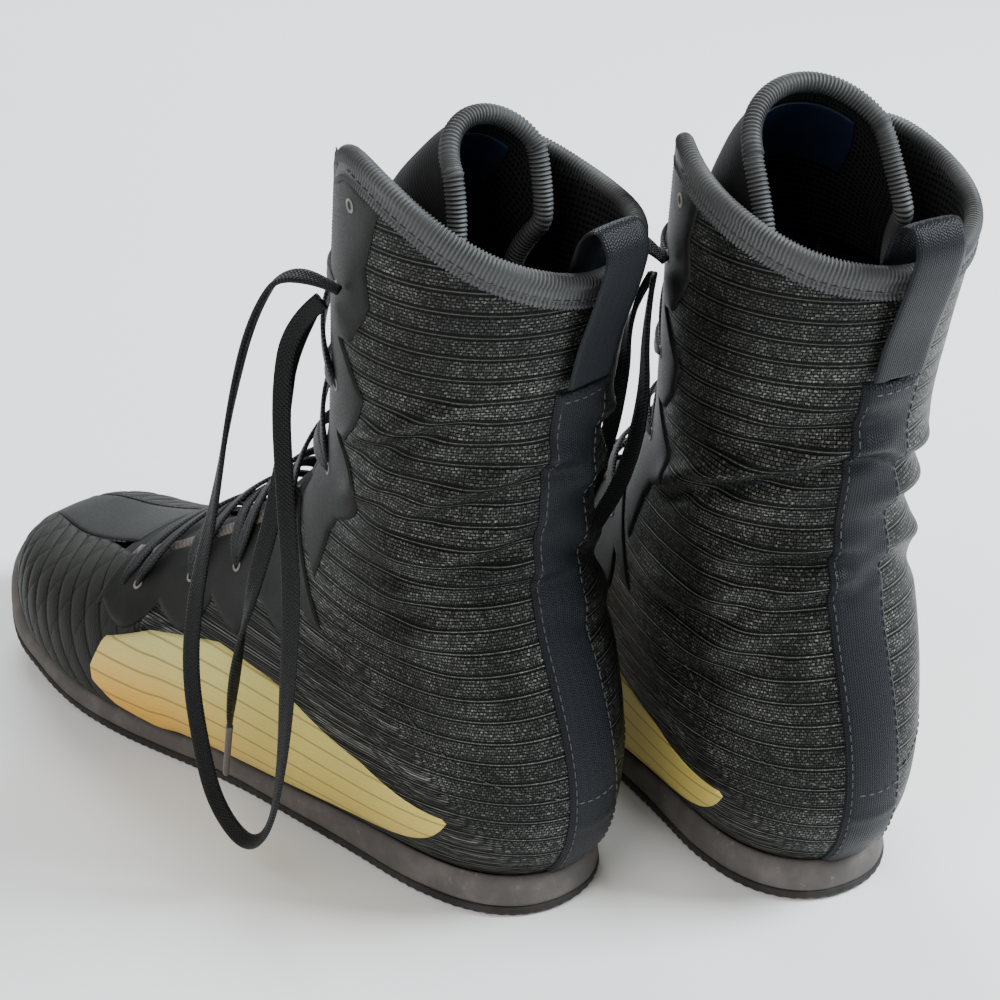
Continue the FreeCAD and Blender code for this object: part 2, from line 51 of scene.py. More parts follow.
STATIONS = np.array([
    (286.0, 34.0, 287.0, 28.0, 8.0, 8.0, 0.45, 0.85, 0.55, 6.0),
    (279.0, 40.5, 280.0, 23.5, 24.0, 22.0, 0.40, 0.88, 0.62, 5.0),
    (263.0, 46.5, 263.0, 18.5, 36.5, 34.0, 0.36, 0.90, 0.66, 3.0),
    (240.0, 51.5, 240.0, 13.0, 45.5, 41.5, 0.34, 0.90, 0.66, 0.5),
    (211.0, 61.0, 208.0, 8.5, 50.0, 45.0, 0.32, 0.90, 0.62, 0.0),
    (182.0, 74.0, 175.0, 7.5, 48.0, 43.5, 0.32, 0.90, 0.57, 0.0),
    (157.0, 91.0, 140.0, 7.5, 42.5, 38.5, 0.31, 0.88, 0.55, -0.5),
    (137.0, 106.0, 100.0, 7.5, 39.5, 36.0, 0.33, 0.85, 0.55, -1.0),
    (122.0, 120.0, 58.0, 8.0, 39.5, 37.5, 0.37, 0.80, 0.55, -0.5),
    (111.0, 133.0, 16.0, 9.5, 40.0, 40.0, 0.46, 0.70, 0.56, 0.0),
    (103.0, 146.0, -5.0, 36.0, 39.5, 40.0, 0.50, 0.58, 0.56, 0.0),
    (97.0, 160.0, 0.0, 76.0, 38.0, 38.0, 0.46, 0.56, 0.56, 0.0),
    (93.0, 175.0, 10.5, 112.0, 37.5, 37.5, 0.46, 0.56, 0.56, 0.0),
    (90.0, 194.0, 8.5, 148.0, 38.5, 38.5, 0.47, 0.56, 0.56, 0.0),
    (87.0, 218.0, 2.0, 185.0, 40.5, 40.0, 0.48, 0.56, 0.56, 0.0),
    (83.0, 246.0, -6.0, 222.0, 42.5, 41.5, 0.48, 0.56, 0.56, 0.0),
    (78.5, 290.0, -15.0, 265.0, 44.5, 43.0, 0.48, 0.56, 0.56, 0.0),
])
# Edge of each boot's soft collar as pairs (a, s): the outer side, then the inner.
COLLARS = {
    "left_": ([(0.0, 15.02), (0.25, 15.08), (0.54, 15.19), (0.80, 15.33), (0.94, 15.40),
               (1.08, 15.45), (1.22, 15.46), (1.34, 15.36), (1.46, 15.10)],
              [(0.0, 15.02), (0.30, 15.07), (0.58, 15.05), (0.79, 14.98), (1.06, 14.95),
               (1.30, 15.02), (1.46, 14.95)]),
    "right_": ([(0.0, 15.04), (0.40, 15.06), (1.06, 15.08), (1.25, 15.12), (1.36, 15.08),
                (1.46, 14.95)],
               [(0.0, 15.04), (0.45, 15.10), (0.78, 15.19), (1.11, 15.24), (1.25, 15.27),
                (1.36, 15.24), (1.46, 15.10)]),
}
THROAT = [(4.3, 1.72), (6.0, 1.70), (8.0, 1.68), (10.0, 1.62), (12.0, 1.53), (15.6, 1.46)]
EYELETS = [(4.95, 1.50), (5.95, 1.50), (6.95, 1.51), (8.3, 1.49), (10.85, 1.47), (12.83, 1.33),
           (14.12, 1.30)]
FREE_EYELET_DROP = 0.34
FREE_EYELET_A = 1.20


# ---------------------------------------------------------------- foot form

def second_derivatives(rows):
    n = len(rows)
    system = np.eye(n)
    right = np.zeros_like(rows)
    for i in range(1, n - 1):
        system[i, i - 1:i + 2] = (1.0, 4.0, 1.0)
        right[i] = 6.0 * (rows[i + 1] - 2.0 * rows[i] + rows[i - 1])
    return np.linalg.solve(system, right)


SECONDS = second_derivatives(STATIONS)


def bezier(p0, p1, p2, p3, t):
    u = 1.0 - t
    return u * u * u * p0 + 3 * u * u * t * p1 + 3 * u * t * t * p2 + t * t * t * p3


def form(s, a):
    """Points of the foot form, in millimetres, for arrays s and a."""
    s, a = np.broadcast_arrays(np.asarray(s, float), np.asarray(a, float))
    a = np.where(a > 2.0, a - 4.0, a)
    a = np.where(a < -2.0, a + 4.0, a)
    s = np.clip(s, 0.0, len(STATIONS) - 1.0)
    i = np.minimum(s.astype(int), len(STATIONS) - 2)
    t = (s - i)[..., None]
    u = 1.0 - t
    row = (u * STATIONS[i] + t * STATIONS[i + 1]
           + ((u ** 3 - u) * SECONDS[i] + (t ** 3 - t) * SECONDS[i + 1]) / 6.0)
    fy, fz, by, bz, w_out, w_in, wide, low, high, centre = np.moveaxis(row, -1, 0)
    side = np.where(a < 0, -1.0, 1.0)
    width = np.where(a < 0, w_out, w_in)
    a = np.abs(a)
    below = a <= 1.0
    x_low = bezier(0.0, low * width, width, width, np.minimum(a, 1.0))
    v_low = bezier(0.0, 0.0, wide * (1.0 - low), wide, np.minimum(a, 1.0))
    b = np.clip(2.0 - a, 0.0, 1.0)
    x_high = bezier(0.0, high * width, width, width, b)
    v_high = bezier(1.0, 1.0, 1.0 - (1.0 - wide) * (1.0 - high), wide, b)
    x = np.where(below, x_low, x_high)
    v = np.where(below, v_low, v_high)
    return np.stack([centre + side * x, by + (fy - by) * v, bz + (fz - bz) * v], -1)


def unit(v):
    return v / np.maximum(np.linalg.norm(v, axis=-1, keepdims=True), 1e-9)


def normal(s, a):
    s, a = np.broadcast_arrays(np.asarray(s, float), np.asarray(a, float))
    e = 0.004
    low = np.clip(s - e, 0.0, len(STATIONS) - 1.0 - 2 * e)
    along = form(low + 2 * e, a) - form(low, a)
    around = form(s, a + e) - form(s, a - e)
    return unit(np.cross(around, along))


def follow(line, x):
    xs, ys = zip(*line)
    return np.interp(x, xs, ys)


def step(x, low, high):
    t = np.clip((x - low) / (high - low), 0.0, 1.0)
    return t * t * (3.0 - 2.0 * t)


def collar_station(boot, a, drop=0.0):
    outer, inner = COLLARS[boot]
    return np.where(np.asarray(a) < 0, follow(outer, np.abs(a)), follow(inner, np.abs(a))) - drop


def sole_edge(s):
    return 0.30 - 0.285 * step(s, 8.7, 9.6)


# Folds of the fabric at the ankle: place (z, a), slope along a in mm, width in mm,
# half length in a, height in mm. A positive height is a ridge with a crease below.
FOLDS = {
    "left_": [(176, -0.86, 26, 4.2, 0.34, 1.7), (158, -0.45, 20, 4.6, 0.34, 1.5),
              (137, -0.62, 15, 4.8, 0.46, 1.7), (121, -0.72, 20, 5.4, 0.42, 1.2),
              (150, -1.10, 30, 4.5, 0.22, 1.0), (104, -0.95, 26, 6.0, 0.30, 0.8),
              (165, -0.13, -18, 4.0, 0.18, 1.1), (126, -0.2, -12, 4.6, 0.24, 1.2),
              (168, 0.6, -18, 4.6, 0.5, 1.5), (146, 0.5, -22, 5.0, 0.5, 1.6),
              (124, 0.5, -26, 5.2, 0.5, 1.5), (106, 0.35, -20, 5.5, 0.35, 0.9)],
    "right_": [(160, 0.45, -12, 4.2, 0.46, 2.1), (147, 0.9, -26, 4.6, 0.40, 1.6),
               (127, 0.42, -14, 4.6, 0.40, 1.7), (114, 0.28, -18, 4.2, 0.28, 1.5),
               (112, 0.85, -34, 5.5, 0.34, 1.5), (97, 0.66, -30, 6.0, 0.34, 1.2),
               (178, 0.3, -10, 5.0, 0.34, 0.9), (140, -0.4, 18, 5.0, 0.4, 1.7),
               (162, -0.3, 14, 4.5, 0.4, 1.7), (122, -0.35, 22, 5.0, 0.4, 1.5),
               (150, -0.95, 30, 5.0, 0.4, 1.3), (108, -0.8, 30, 5.5, 0.4, 1.1)],
}


def waves(p, seed):
    """A slow unevenness of soft fabric, in millimetres, from -1 to 1."""
    x, y, z = np.moveaxis(p, -1, 0)
    total = 0.0
    for k in range(5):
        f = 0.035 * 1.5 ** k
        total = total + np.sin(x * f * 1.3 + seed * 1.7 + k) * np.sin(
            z * f * 1.9 + y * f * 0.7 + seed * 2.9 + 2.1 * k) / 1.45 ** k
    return total / 2.4


def wrinkle(boot, s, a, p):
    """How far the soft upper stands proud of the form here, in millimetres."""
    z = p[..., 2]
    total = 0.35 * waves(p, 1.0 if boot == "left_" else 4.0) * step(z, 60, 110)
    for z0, a0, slope, wide, reach, height in FOLDS[boot]:
        d = a - a0
        t = (z - z0 - slope * d - 3.0 * np.sin(4.0 * d + z0)) / wide
        window = np.exp(-(d / reach) ** 4)
        total = total + 1.5 * height * window * (
            np.exp(-t * t) - 0.75 * np.exp(-((t + 1.5) / 0.75) ** 2))
    calm = step(s, 8.6, 10.2) * (1.0 - step(s, 14.2, 15.0))
    film = 1.0 - 0.85 * step(np.abs(a), 1.18, 1.42)
    return total * calm * film


def rib_relief(p):
    """Soft swelling of the cloth between the ripstop's heavy ribs."""
    t = (p[..., 2] / RIB_PITCH) % 1.0
    return 0.05 * (1.0 - (2.0 * np.abs(t - 0.5)) ** 8) - 0.03


def skin(boot, s, a, offset):
    p = form(s, a)
    lift = offset + wrinkle(boot, s, a, p)
    return p + normal(s, a) * np.asarray(lift)[..., None]


# ---------------------------------------------------------------- meshes

def to_world(boot, p):
    """A boot's own millimetres to the shared frame's metres."""
    p = np.asarray(p, float)
    mirror = -1.0 if boot == "right_" else 1.0
    turn = SPLAY * mirror
    x, y = p[..., 0] * mirror, p[..., 1]
    c, n = math.cos(turn), math.sin(turn)
    hx, hy = HEELS[boot]
    return np.stack([x * c - y * n + hx, x * n + y * c + hy, p[..., 2]], -1) / 1000.0


def face_outwards(mesh):
    """Turns a closed mesh's faces outwards."""
    mesh.calc_loop_triangles()
    corners = np.zeros(len(mesh.loop_triangles) * 3, np.int32)
    mesh.loop_triangles.foreach_get("vertices", corners)
    points = np.zeros(len(mesh.vertices) * 3)
    mesh.vertices.foreach_get("co", points)
    a, b, c = np.moveaxis(points.reshape(-1, 3)[corners.reshape(-1, 3)], 1, 0)
    if np.einsum("ij,ij->", a, np.cross(b, c)) < 0:
        mesh.flip_normals()


def make(boot, name, verts, faces, mats, uvs=None, slots=None, smooth=True):
    """One piece of a boot from its own millimetres; uvs are per vertex."""
    verts = to_world(boot, verts)
    mesh = bpy.data.meshes.new(boot + name)
    mesh.from_pydata(verts.tolist(), [], faces)
    face_outwards(mesh)
    mesh.polygons.foreach_set("use_smooth", [smooth] * len(mesh.polygons))
    loops = np.zeros(len(mesh.loops), int)
    mesh.loops.foreach_get("vertex_index", loops)
    if uvs is not None:
        layer = mesh.uv_layers.new(name="weave")
        layer.data.foreach_set("uv", np.asarray(uvs, float)[loops].ravel())
    for mat in mats:
        mesh.materials.append(mat)
    if slots is not None:
        mesh.polygons.foreach_set("material_index", np.asarray(slots, np.int32))
    mesh.update()
    obj = bpy.data.objects.new(boot + name, mesh)
    bpy.context.scene.collection.objects.link(obj)
    return obj


def grid_faces(rows, cols, start=0, flip=False):
    i, j = np.meshgrid(np.arange(rows - 1), np.arange(cols - 1), indexing="ij")
    a = (start + i * cols + j).ravel()
    quad = np.stack([a, a + 1, a + cols + 1, a + cols], 1)
    return (quad[:, ::-1] if flip else quad).tolist()


def shell(boot, name, outer, inner, mats, uv, inner_slot=0):
    """Closed thin piece between two matching grids of points."""
    rows, cols = outer.shape[:2]
    count = rows * cols
    verts = np.concatenate([outer.reshape(-1, 3), inner.reshape(-1, 3)])
    top = grid_faces(rows, cols)
    bottom = grid_faces(rows, cols, count, True)
    ring = (list(range(cols)) + [r * cols + cols - 1 for r in range(1, rows)]
            + [(rows - 1) * cols + c for c in range(cols - 2, -1, -1)]
            + [r * cols for r in range(rows - 2, 0, -1)])
    side = [(b, a, a + count, b + count) for a, b in zip(ring, ring[1:] + ring[:1])]
    uvs = np.concatenate([uv.reshape(-1, 2)] * 2)
    slots = [0] * len(top) + [inner_slot] * (len(bottom) + len(side))
    return make(boot, name, verts, top + bottom + side, mats, uvs, slots)


def edge_softness(rows, cols, depth=0.55):
    """1 inside a grid, less on its border, to round the edge of a layer."""
    soft = np.ones((rows, cols))
    soft[[0, -1], :] = 1.0 - depth
    soft[:, [0, -1]] = 1.0 - depth
    for r in (1, rows - 2):
        soft[r, 1:-1] = np.minimum(soft[r, 1:-1], 1.0 - 0.12 * depth)
    for c in (1, cols - 2):
        soft[1:-1, c] = np.minimum(soft[1:-1, c], 1.0 - 0.12 * depth)
    return soft


def arc_uv(p):
    """Distance round each row from the back seam, and height, in millimetres."""
    steps = np.linalg.norm(np.diff(p, axis=1), axis=2)
    run = np.concatenate([np.zeros((len(p), 1)), np.cumsum(steps, axis=1)], 1)
    return np.stack([run, p[..., 2]], -1)


def run_uv(p):
    """Mean distance along the rows, and along the columns, in millimetres."""
    down = np.linalg.norm(np.diff(p, axis=0), axis=2).mean(1)
    over = np.linalg.norm(np.diff(p, axis=1), axis=2).mean(0)
    y = np.concatenate([[0.0], np.cumsum(down)])
    x = np.concatenate([[0.0], np.cumsum(over)])
    return np.stack(np.meshgrid(x, y), -1)


def panel(boot, name, place, low, high, rows, cols, mats, relief=None, uv=arc_uv,
          inner_slot=0, wrinkled=True, depth=0.55):
    """A layer of the upper on the form: place(u, v) gives (s, a)."""
    u, v = np.meshgrid(np.linspace(0, 1, rows), np.linspace(0, 1, cols), indexing="ij")
    s, a = place(u, v)
    s, a = np.broadcast_arrays(s, a)
    p, n = form(s, a), normal(s, a)
    lift = wrinkle(boot, s, a, p) if wrinkled else np.zeros_like(s)
    coords = uv(p)
    extra = relief(p, s, a, coords) if relief else 0.0
    soft = edge_softness(rows, cols, depth)
    outer = p + n * (lift + low + (high + extra - low) * soft)[..., None]
    inner = p + n * (lift + low)[..., None]
    if np.mean(a[:, -1] - a[:, 0]) < 0:
        outer, inner, coords = outer[:, ::-1], inner[:, ::-1], coords[:, ::-1]
    return shell(boot, name, outer, inner, mats, coords, inner_slot)


def frames_along(path, up):
    """Tangent, and two square directions, along a line of points."""
    tangent = unit(np.gradient(path, axis=0))
    side = unit(np.cross(tangent, up))
    return tangent, side, unit(np.cross(side, tangent))


def sweep(boot, name, path, up, profile, mats, closed=False, uv_scale=1.0):
    """A closed profile carried along a path. profile is (count, k, 2): across, up."""
    _, side, rise = frames_along(path, up)
    if profile.ndim == 2:
        profile = np.broadcast_to(profile, (len(path),) + profile.shape)
    pts = (path[:, None] + side[:, None] * profile[..., :1] + rise[:, None] * profile[..., 1:])
    rows, k = pts.shape[:2]
    run = np.concatenate([[0.0], np.cumsum(np.linalg.norm(np.diff(path, axis=0), axis=1))])
    rim = np.concatenate([[0.0], np.cumsum(np.linalg.norm(np.diff(pts[rows // 2], axis=0),
                                                         axis=1))])
    uv = np.stack(np.meshgrid(rim, run * uv_scale), -1).reshape(-1, 2)
    faces = []
    for i in range(rows if closed else rows - 1):
        n = (i + 1) % rows
        faces += [(i * k + j, i * k + (j + 1) % k, n * k + (j + 1) % k, n * k + j)
                  for j in range(k)]
    if not closed:
        faces += [tuple(range(k))[::-1], tuple((rows - 1) * k + j for j in range(k))]
    return make(boot, name, pts.reshape(-1, 3), faces, mats, uv)


def smooth_line(points, count):
    """Evenly spaced points on a smooth curve through the given ones."""
    pts = np.asarray(points, float)
    m = np.gradient(pts, axis=0)
    t = np.linspace(0, len(pts) - 1, count * 4)
    i = np.minimum(t.astype(int), len(pts) - 2)
    f = (t - i)[:, None]
    h = (2 * f ** 3 - 3 * f ** 2 + 1) * pts[i] + (f ** 3 - 2 * f ** 2 + f) * m[i] + (
        3 * f ** 2 - 2 * f ** 3) * pts[i + 1] + (f ** 3 - f ** 2) * m[i + 1]
    run = np.concatenate([[0.0], np.cumsum(np.linalg.norm(np.diff(h, axis=0), axis=1))])
    even = np.linspace(0, run[-1], count)
    return np.stack([np.interp(even, run, h[:, k]) for k in range(h.shape[1])], 1)


# ---------------------------------------------------------------- materials

class Paint:
    """A node material built up with short calls; lengths are in millimetres."""

    def __init__(self, name, rough, metal=0.0, sheen=0.0, coat=0.0, specular=0.5,
                 sheen_tint=(0.8, 0.9, 1.0)):
        self.mat = bpy.data.materials.new(name)
        self.mat.use_nodes = True
        self.tree = self.mat.node_tree
        self.shader = self.tree.nodes["Principled BSDF"]
        self.shader.inputs["Roughness"].default_value = rough
        self.shader.inputs["Metallic"].default_value = metal
        self.shader.inputs["Sheen Weight"].default_value = sheen
        self.shader.inputs["Sheen Roughness"].default_value = 0.35
        self.shader.inputs["Sheen Tint"].default_value = (*sheen_tint, 1)
        self.shader.inputs["Coat Weight"].default_value = coat
        self.shader.inputs["Specular IOR Level"].default_value = specular

    def node(self, kind, inputs=(), **settings):
        n = self.tree.nodes.new(kind)
        for key, value in settings.items():
            setattr(n, key, value)
        for key, value in (inputs.items() if isinstance(inputs, dict) else enumerate(inputs)):
            if isinstance(value, bpy.types.NodeSocket):
                self.tree.links.new(value, n.inputs[key])
            elif value is not None:
                n.inputs[key].default_value = value
        return n

    def math(self, operation, a, b=None, c=None):
        return self.node("ShaderNodeMath", (a, b, c)[:3], operation=operation).outputs[0]

    def uv(self):
        n = self.node("ShaderNodeUVMap", uv_map="weave")
        split = self.node("ShaderNodeSeparateXYZ", (n.outputs[0],))
        return n.outputs[0], split.outputs[0], split.outputs[1]

    def place(self):
        """Object coordinates in millimetres."""
        n = self.node("ShaderNodeTexCoord")
        m = self.node("ShaderNodeVectorMath", (n.outputs["Object"], (1000, 1000, 1000)),
                      operation="MULTIPLY")
        split = self.node("ShaderNodeSeparateXYZ", (m.outputs[0],))
        return m.outputs[0], split.outputs

    def vector(self, x, y, z=0.0):
        return self.node("ShaderNodeCombineXYZ", (x, y, z)).outputs[0]

    def noise(self, vector, scale, detail=3.0, rough=0.55):
        return self.node("ShaderNodeTexNoise", {"Vector": vector, "Scale": scale,
                         "Detail": detail, "Roughness": rough}).outputs[0]

    def ramp(self, value, low, high, out_low=0.0, out_high=1.0):
        n = self.node("ShaderNodeMapRange", (value, low, high, out_low, out_high),
                      interpolation_type="SMOOTHSTEP")
        return n.outputs[0]

    def mix(self, factor, a, b):
        n = self.node("ShaderNodeMix", data_type="RGBA")
        for index, value in ((0, factor), (6, a), (7, b)):
            if isinstance(value, bpy.types.NodeSocket):
                self.tree.links.new(value, n.inputs[index])
            else:
                n.inputs[index].default_value = value if index == 0 else (*value, 1)
        return n.outputs[2]

    def band(self, value, pitch, width, soft=0.35):
        """1 on thin lines every pitch, 0 between."""
        t = self.math("PINGPONG", self.math("ADD", value, 4000.0 * pitch), 0.5 * pitch)
        return self.ramp(t, 0.5 * width * (1 + soft), 0.5 * width * (1 - soft))

    def wave(self, value, pitch):
        """A smooth wave from 0 to 1 with this pitch."""
        s = self.math("SINE", self.math("MULTIPLY", value, 2 * math.pi / pitch))
        return self.math("MULTIPLY_ADD", s, 0.5, 0.5)

    def finish(self, color, height=None, strength=0.5, depth=0.3, roughness=None):
        """Sets the colour, and the bump from a height of 0 to 1 that is depth mm deep."""
        if isinstance(color, bpy.types.NodeSocket):
            self.tree.links.new(color, self.shader.inputs["Base Color"])
        else:
            self.shader.inputs["Base Color"].default_value = (*color, 1)
        if roughness is not None:
            self.tree.links.new(roughness, self.shader.inputs["Roughness"])
        if height is not None:
            bump = self.node("ShaderNodeBump", {"Strength": strength, "Height": height,
                                                "Distance": depth / 1000.0})
            self.tree.links.new(bump.outputs[0], self.shader.inputs["Normal"])
        return self.mat


def ripstop(name, dark, thread):
    """Dashed rows of bright thread on near black, between heavy double ribs; each rib's two grooves
    carry painted shade and its crest a painted highlight.
    """
    p = Paint(name, 0.42)
    vector, u, v = p.uv()
    wob = p.math("MULTIPLY", p.noise(p.vector(p.math("MULTIPLY", u, 0.03), v), 0.25), 0.8)
    height = p.math("ADD", v, wob)
    bricks = p.node("ShaderNodeTexBrick", {
        "Vector": p.vector(u, height), "Color1": (1, 1, 1, 1), "Color2": (0.3, 0.3, 0.3, 1),
        "Mortar": (0, 0, 0, 1), "Scale": 1.0, "Mortar Size": 0.2, "Mortar Smooth": 0.5,
        "Bias": 0.0, "Brick Width": 1.7, "Row Height": 1.04})
    dash = p.node("ShaderNodeSeparateColor", (bricks.outputs["Color"],)).outputs[0]
    # rib: the two grooves of each heavy rib, sunk in the bump and darkened in the colour as painted
    # shade
    rib = p.math("MAXIMUM", p.band(height, RIB_PITCH, 0.8),
                 p.band(p.math("ADD", height, 1.15), RIB_PITCH, 0.6))
    # crest: the raised line between a rib's grooves, raised in the bump and lightened in the colour
    # as a painted highlight
    crest = p.band(p.math("ADD", height, 0.6), RIB_PITCH, 0.4)
    grid = p.math("MULTIPLY", p.band(u, 6.8, 0.7), 0.5)
    # glint: specks of painted highlight on the threads, in the colour and the specular level
    glint = p.ramp(p.noise(vector, 1.1, 2.0, 0.75), 0.46, 0.68)
    cloud = p.ramp(p.noise(vector, 0.03, 3.0), 0.35, 0.7, 0.45, 1.15)
    lit = p.math("MULTIPLY", p.math("MULTIPLY", dash, p.math("MULTIPLY_ADD", glint, 1.1, 0.22)),
                 cloud)
    # painted shade in the rib grooves
    lit = p.math("MULTIPLY", lit, p.math("SUBTRACT", 1.0, p.math("MULTIPLY", rib, 0.95)))
    # painted highlight along the rib crests
    lit = p.math("ADD", lit, p.math("MULTIPLY", crest, 0.3))
    color = p.mix(lit, dark, thread)
    color = p.mix(grid, color, dark)
    shine = p.math("MULTIPLY_ADD", lit, 0.9, 0.06)
    p.tree.links.new(shine, p.shader.inputs["Specular IOR Level"])
    tall = p.math("SUBTRACT", p.math("MULTIPLY", dash, 0.35), p.math("MULTIPLY", rib, 0.9))
    tall = p.math("ADD", tall, p.math("MULTIPLY", crest, 0.4))
    return p.finish(color, tall, 0.85, 0.5)


def quilt():
    """Toe fabric with painted shade along its sunk sewn lines; the padding itself is in the mesh."""
    p = Paint("toe_quilt", 0.55, specular=0.14)
    vector, u, v = p.uv()
    first = p.math("ADD", p.math("MULTIPLY", u, 0.63), p.math("MULTIPLY", v, 0.78))
    second = p.math("SUBTRACT", p.math("MULTIPLY", v, 0.9), p.math("MULTIPLY", u, 0.43))
    rows = p.wave(p.math("ADD", p.math("MULTIPLY", u, 0.2), v), 1.05)
    dots = p.noise(vector, 1.6, 2.0, 0.7)
    seam = p.math("MAXIMUM", p.band(first, 7.6, 1.0), p.math("MULTIPLY", p.band(second, 12.0, 0.8),
                                                             0.5))
    tone = p.math("MULTIPLY", p.math("MULTIPLY_ADD", rows, 0.5, 0.3), dots)
    color = p.mix(p.math("MULTIPLY", tone, 1.6), (0.0035, 0.004, 0.0035), (0.036, 0.037, 0.031))
    # painted shade: the sewn grooves are darkened in the colour
    color = p.mix(seam, color, (0.004, 0.004, 0.004))
    tall = p.math("SUBTRACT", p.math("MULTIPLY", rows, 0.25), p.math("MULTIPLY", seam, 0.8))
    return p.finish(color, tall, 0.5, 0.4)


def film():
    p = Paint("welded_film", 0.4, specular=0.16)
    vector, _ = p.place()
    grain = p.noise(vector, 1.7, 4.0, 0.6)
    slow = p.noise(vector, 0.06, 3.0)
    color = p.mix(p.ramp(slow, 0.3, 0.7), (0.006, 0.0065, 0.006), (0.013, 0.0135, 0.012))
    return p.finish(color, grain, 0.25, 0.12, p.ramp(grain, 0.3, 0.7, 0.46, 0.6))


def grosgrain(name, light=(0.085, 0.088, 0.09), dark=(0.016, 0.017, 0.018)):
    p = Paint(name, 0.55, specular=0.3)
    vector, _, v = p.uv()
    rib = p.wave(v, 1.25)
    fuzz = p.noise(vector, 2.2, 3.0, 0.7)
    tone = p.math("MULTIPLY", p.math("MULTIPLY_ADD", rib, 0.75, 0.2),
                  p.math("MULTIPLY_ADD", fuzz, 0.8, 0.55))
    color = p.mix(tone, dark, light)
    return p.finish(color, p.math("MULTIPLY_ADD", fuzz, 0.3, p.math("MULTIPLY", rib, 0.6)),
                    0.6, 0.3)


def webbing():
    """Herringbone webbing: u runs across it from the middle."""
    p = Paint("back_webbing", 0.4, specular=0.14)
    vector, u, v = p.uv()
    zig = p.math("PINGPONG", p.math("ADD", u, 400.0), 1.6)
    twill = p.wave(p.math("MULTIPLY_ADD", zig, 0.9, v), 0.95)
    cord = p.wave(u, 0.8)
    fuzz = p.noise(vector, 1.8, 3.0, 0.7)
    tone = p.math("MULTIPLY", p.math("MULTIPLY_ADD", twill, 0.55, p.math("MULTIPLY", cord, 0.35)),
                  p.math("MULTIPLY_ADD", fuzz, 1.0, 0.35))
    color = p.mix(tone, (0.0016, 0.002, 0.0028), (0.013, 0.0155, 0.02))
    tall = p.math("MULTIPLY_ADD", cord, 0.5, p.math("MULTIPLY", twill, 0.5))
    return p.finish(color, tall, 0.6, 0.28)


def air_mesh():
    """Padded lining with small round holes in rows; the holes are only in the bump and colour,
    painted near black for the dark layer behind them and the shade inside them.
    """
    p = Paint("air_mesh", 0.75, specular=0.12)
    vector, _, _ = p.uv()
    holes = p.node("ShaderNodeTexVoronoi", {"Vector": vector, "Scale": 0.5, "Randomness": 0.12})
    hole = p.ramp(holes.outputs["Distance"], 0.42, 0.2)
    fuzz = p.noise(vector, 1.5, 3.0, 0.7)
    # the holes' near black is partly the dark layer seen through them and partly painted shade inside
    # them
    color = p.mix(hole, (0.011, 0.0115, 0.012), (0.001, 0.001, 0.001))
    tall = p.math("SUBTRACT", p.math("MULTIPLY", fuzz, 0.2), hole)
    return p.finish(color, tall, 0.7, 0.5)


def knit():
    p = Paint("tongue_knit", 0.65, specular=0.14)
    vector, _, v = p.uv()
    rows = p.wave(v, 1.1)
    dots = p.noise(vector, 1.3, 3.0, 0.7)
    tone = p.math("MULTIPLY", rows, dots)
    return p.finish(p.mix(tone, (0.005, 0.005, 0.0055), (0.03, 0.031, 0.033)), tone, 0.5, 0.3)


def braid(name="lace_braid"):
    """Flat braid: chevrons either side of the middle, with specks of painted highlight."""
    p = Paint(name, 0.5, specular=0.2)
    vector, u, v = p.uv()
    lean = p.math("ABSOLUTE", u)
    chevron = p.wave(p.math("MULTIPLY_ADD", lean, 0.75, v), 1.35)
    strand = p.wave(p.math("MULTIPLY_ADD", lean, -0.9, v), 1.35)
    cross = p.math("MULTIPLY", chevron, strand)
    # speck: small spots of painted highlight on the braid
    speck = p.ramp(p.noise(vector, 1.7, 2.0, 0.7), 0.5, 0.75)
    tone = p.math("MULTIPLY", cross, p.math("MULTIPLY_ADD", speck, 0.8, 0.3))
    color = p.mix(tone, (0.002, 0.002, 0.0022), (0.026, 0.026, 0.028))
    return p.finish(color, cross, 0.75, 0.4)


def rubber(name, base, worn, rough=0.75, grain_scale=0.9):
    p = Paint(name, rough, specular=0.35)
    vector, _ = p.place()
    grain = p.noise(vector, grain_scale, 5.0, 0.65)
    dust = p.ramp(p.noise(vector, 0.07, 4.0, 0.6), 0.35, 0.75)
    speck = p.ramp(p.noise(vector, 0.45, 2.0), 0.66, 0.74)
    color = p.mix(dust, base, worn)
    color = p.mix(p.math("MULTIPLY", speck, 0.35), color, tuple(1.7 * c for c in worn))
    return p.finish(color, grain, 0.35, 0.25)


def gold():
    """Metallic print, pale at the top and warmer low down at the front."""
    p = Paint("gold_print", 0.42, metal=0.35, specular=0.5)
    vector, _, v = p.uv()
    _, axes = p.place()
    low = p.ramp(axes[2], 58.0, 16.0)
    front = p.ramp(axes[1], -20.0, 60.0)
    warm = p.math("MULTIPLY", low, p.math("MULTIPLY_ADD", front, 0.75, 0.25))
    pale = p.mix(front, (0.54, 0.46, 0.115), (0.56, 0.54, 0.21))
    color = p.mix(warm, pale, (0.70, 0.37, 0.035))
    rib = p.band(v, RIB_PITCH, 0.8)
    rows = p.wave(v, 0.92)
    grit = p.noise(vector, 1.4, 3.0, 0.75)
    # painted shade in the rib grooves under the print
    color = p.mix(p.math("MULTIPLY", rib, 0.55), color, (0.16, 0.12, 0.025))
    color = p.mix(p.ramp(grit, 0.45, 0.2, 0.0, 0.45), color, (0.26, 0.2, 0.04))
    tall = p.math("SUBTRACT", p.math("MULTIPLY_ADD", grit, 0.4, p.math("MULTIPLY", rows, 0.3)), rib)
    return p.finish(color, tall, 0.5, 0.3)


def plain(name, base, rough, scale=1.2, metal=0.0, strength=0.25):
    p = Paint(name, rough, metal=metal)
    vector, _ = p.place()
    grain = p.noise(vector, scale, 3.0, 0.6)
    color = p.mix(grain, tuple(0.6 * c for c in base), tuple(1.4 * c for c in base))
    return p.finish(color, grain, strength, 0.2)


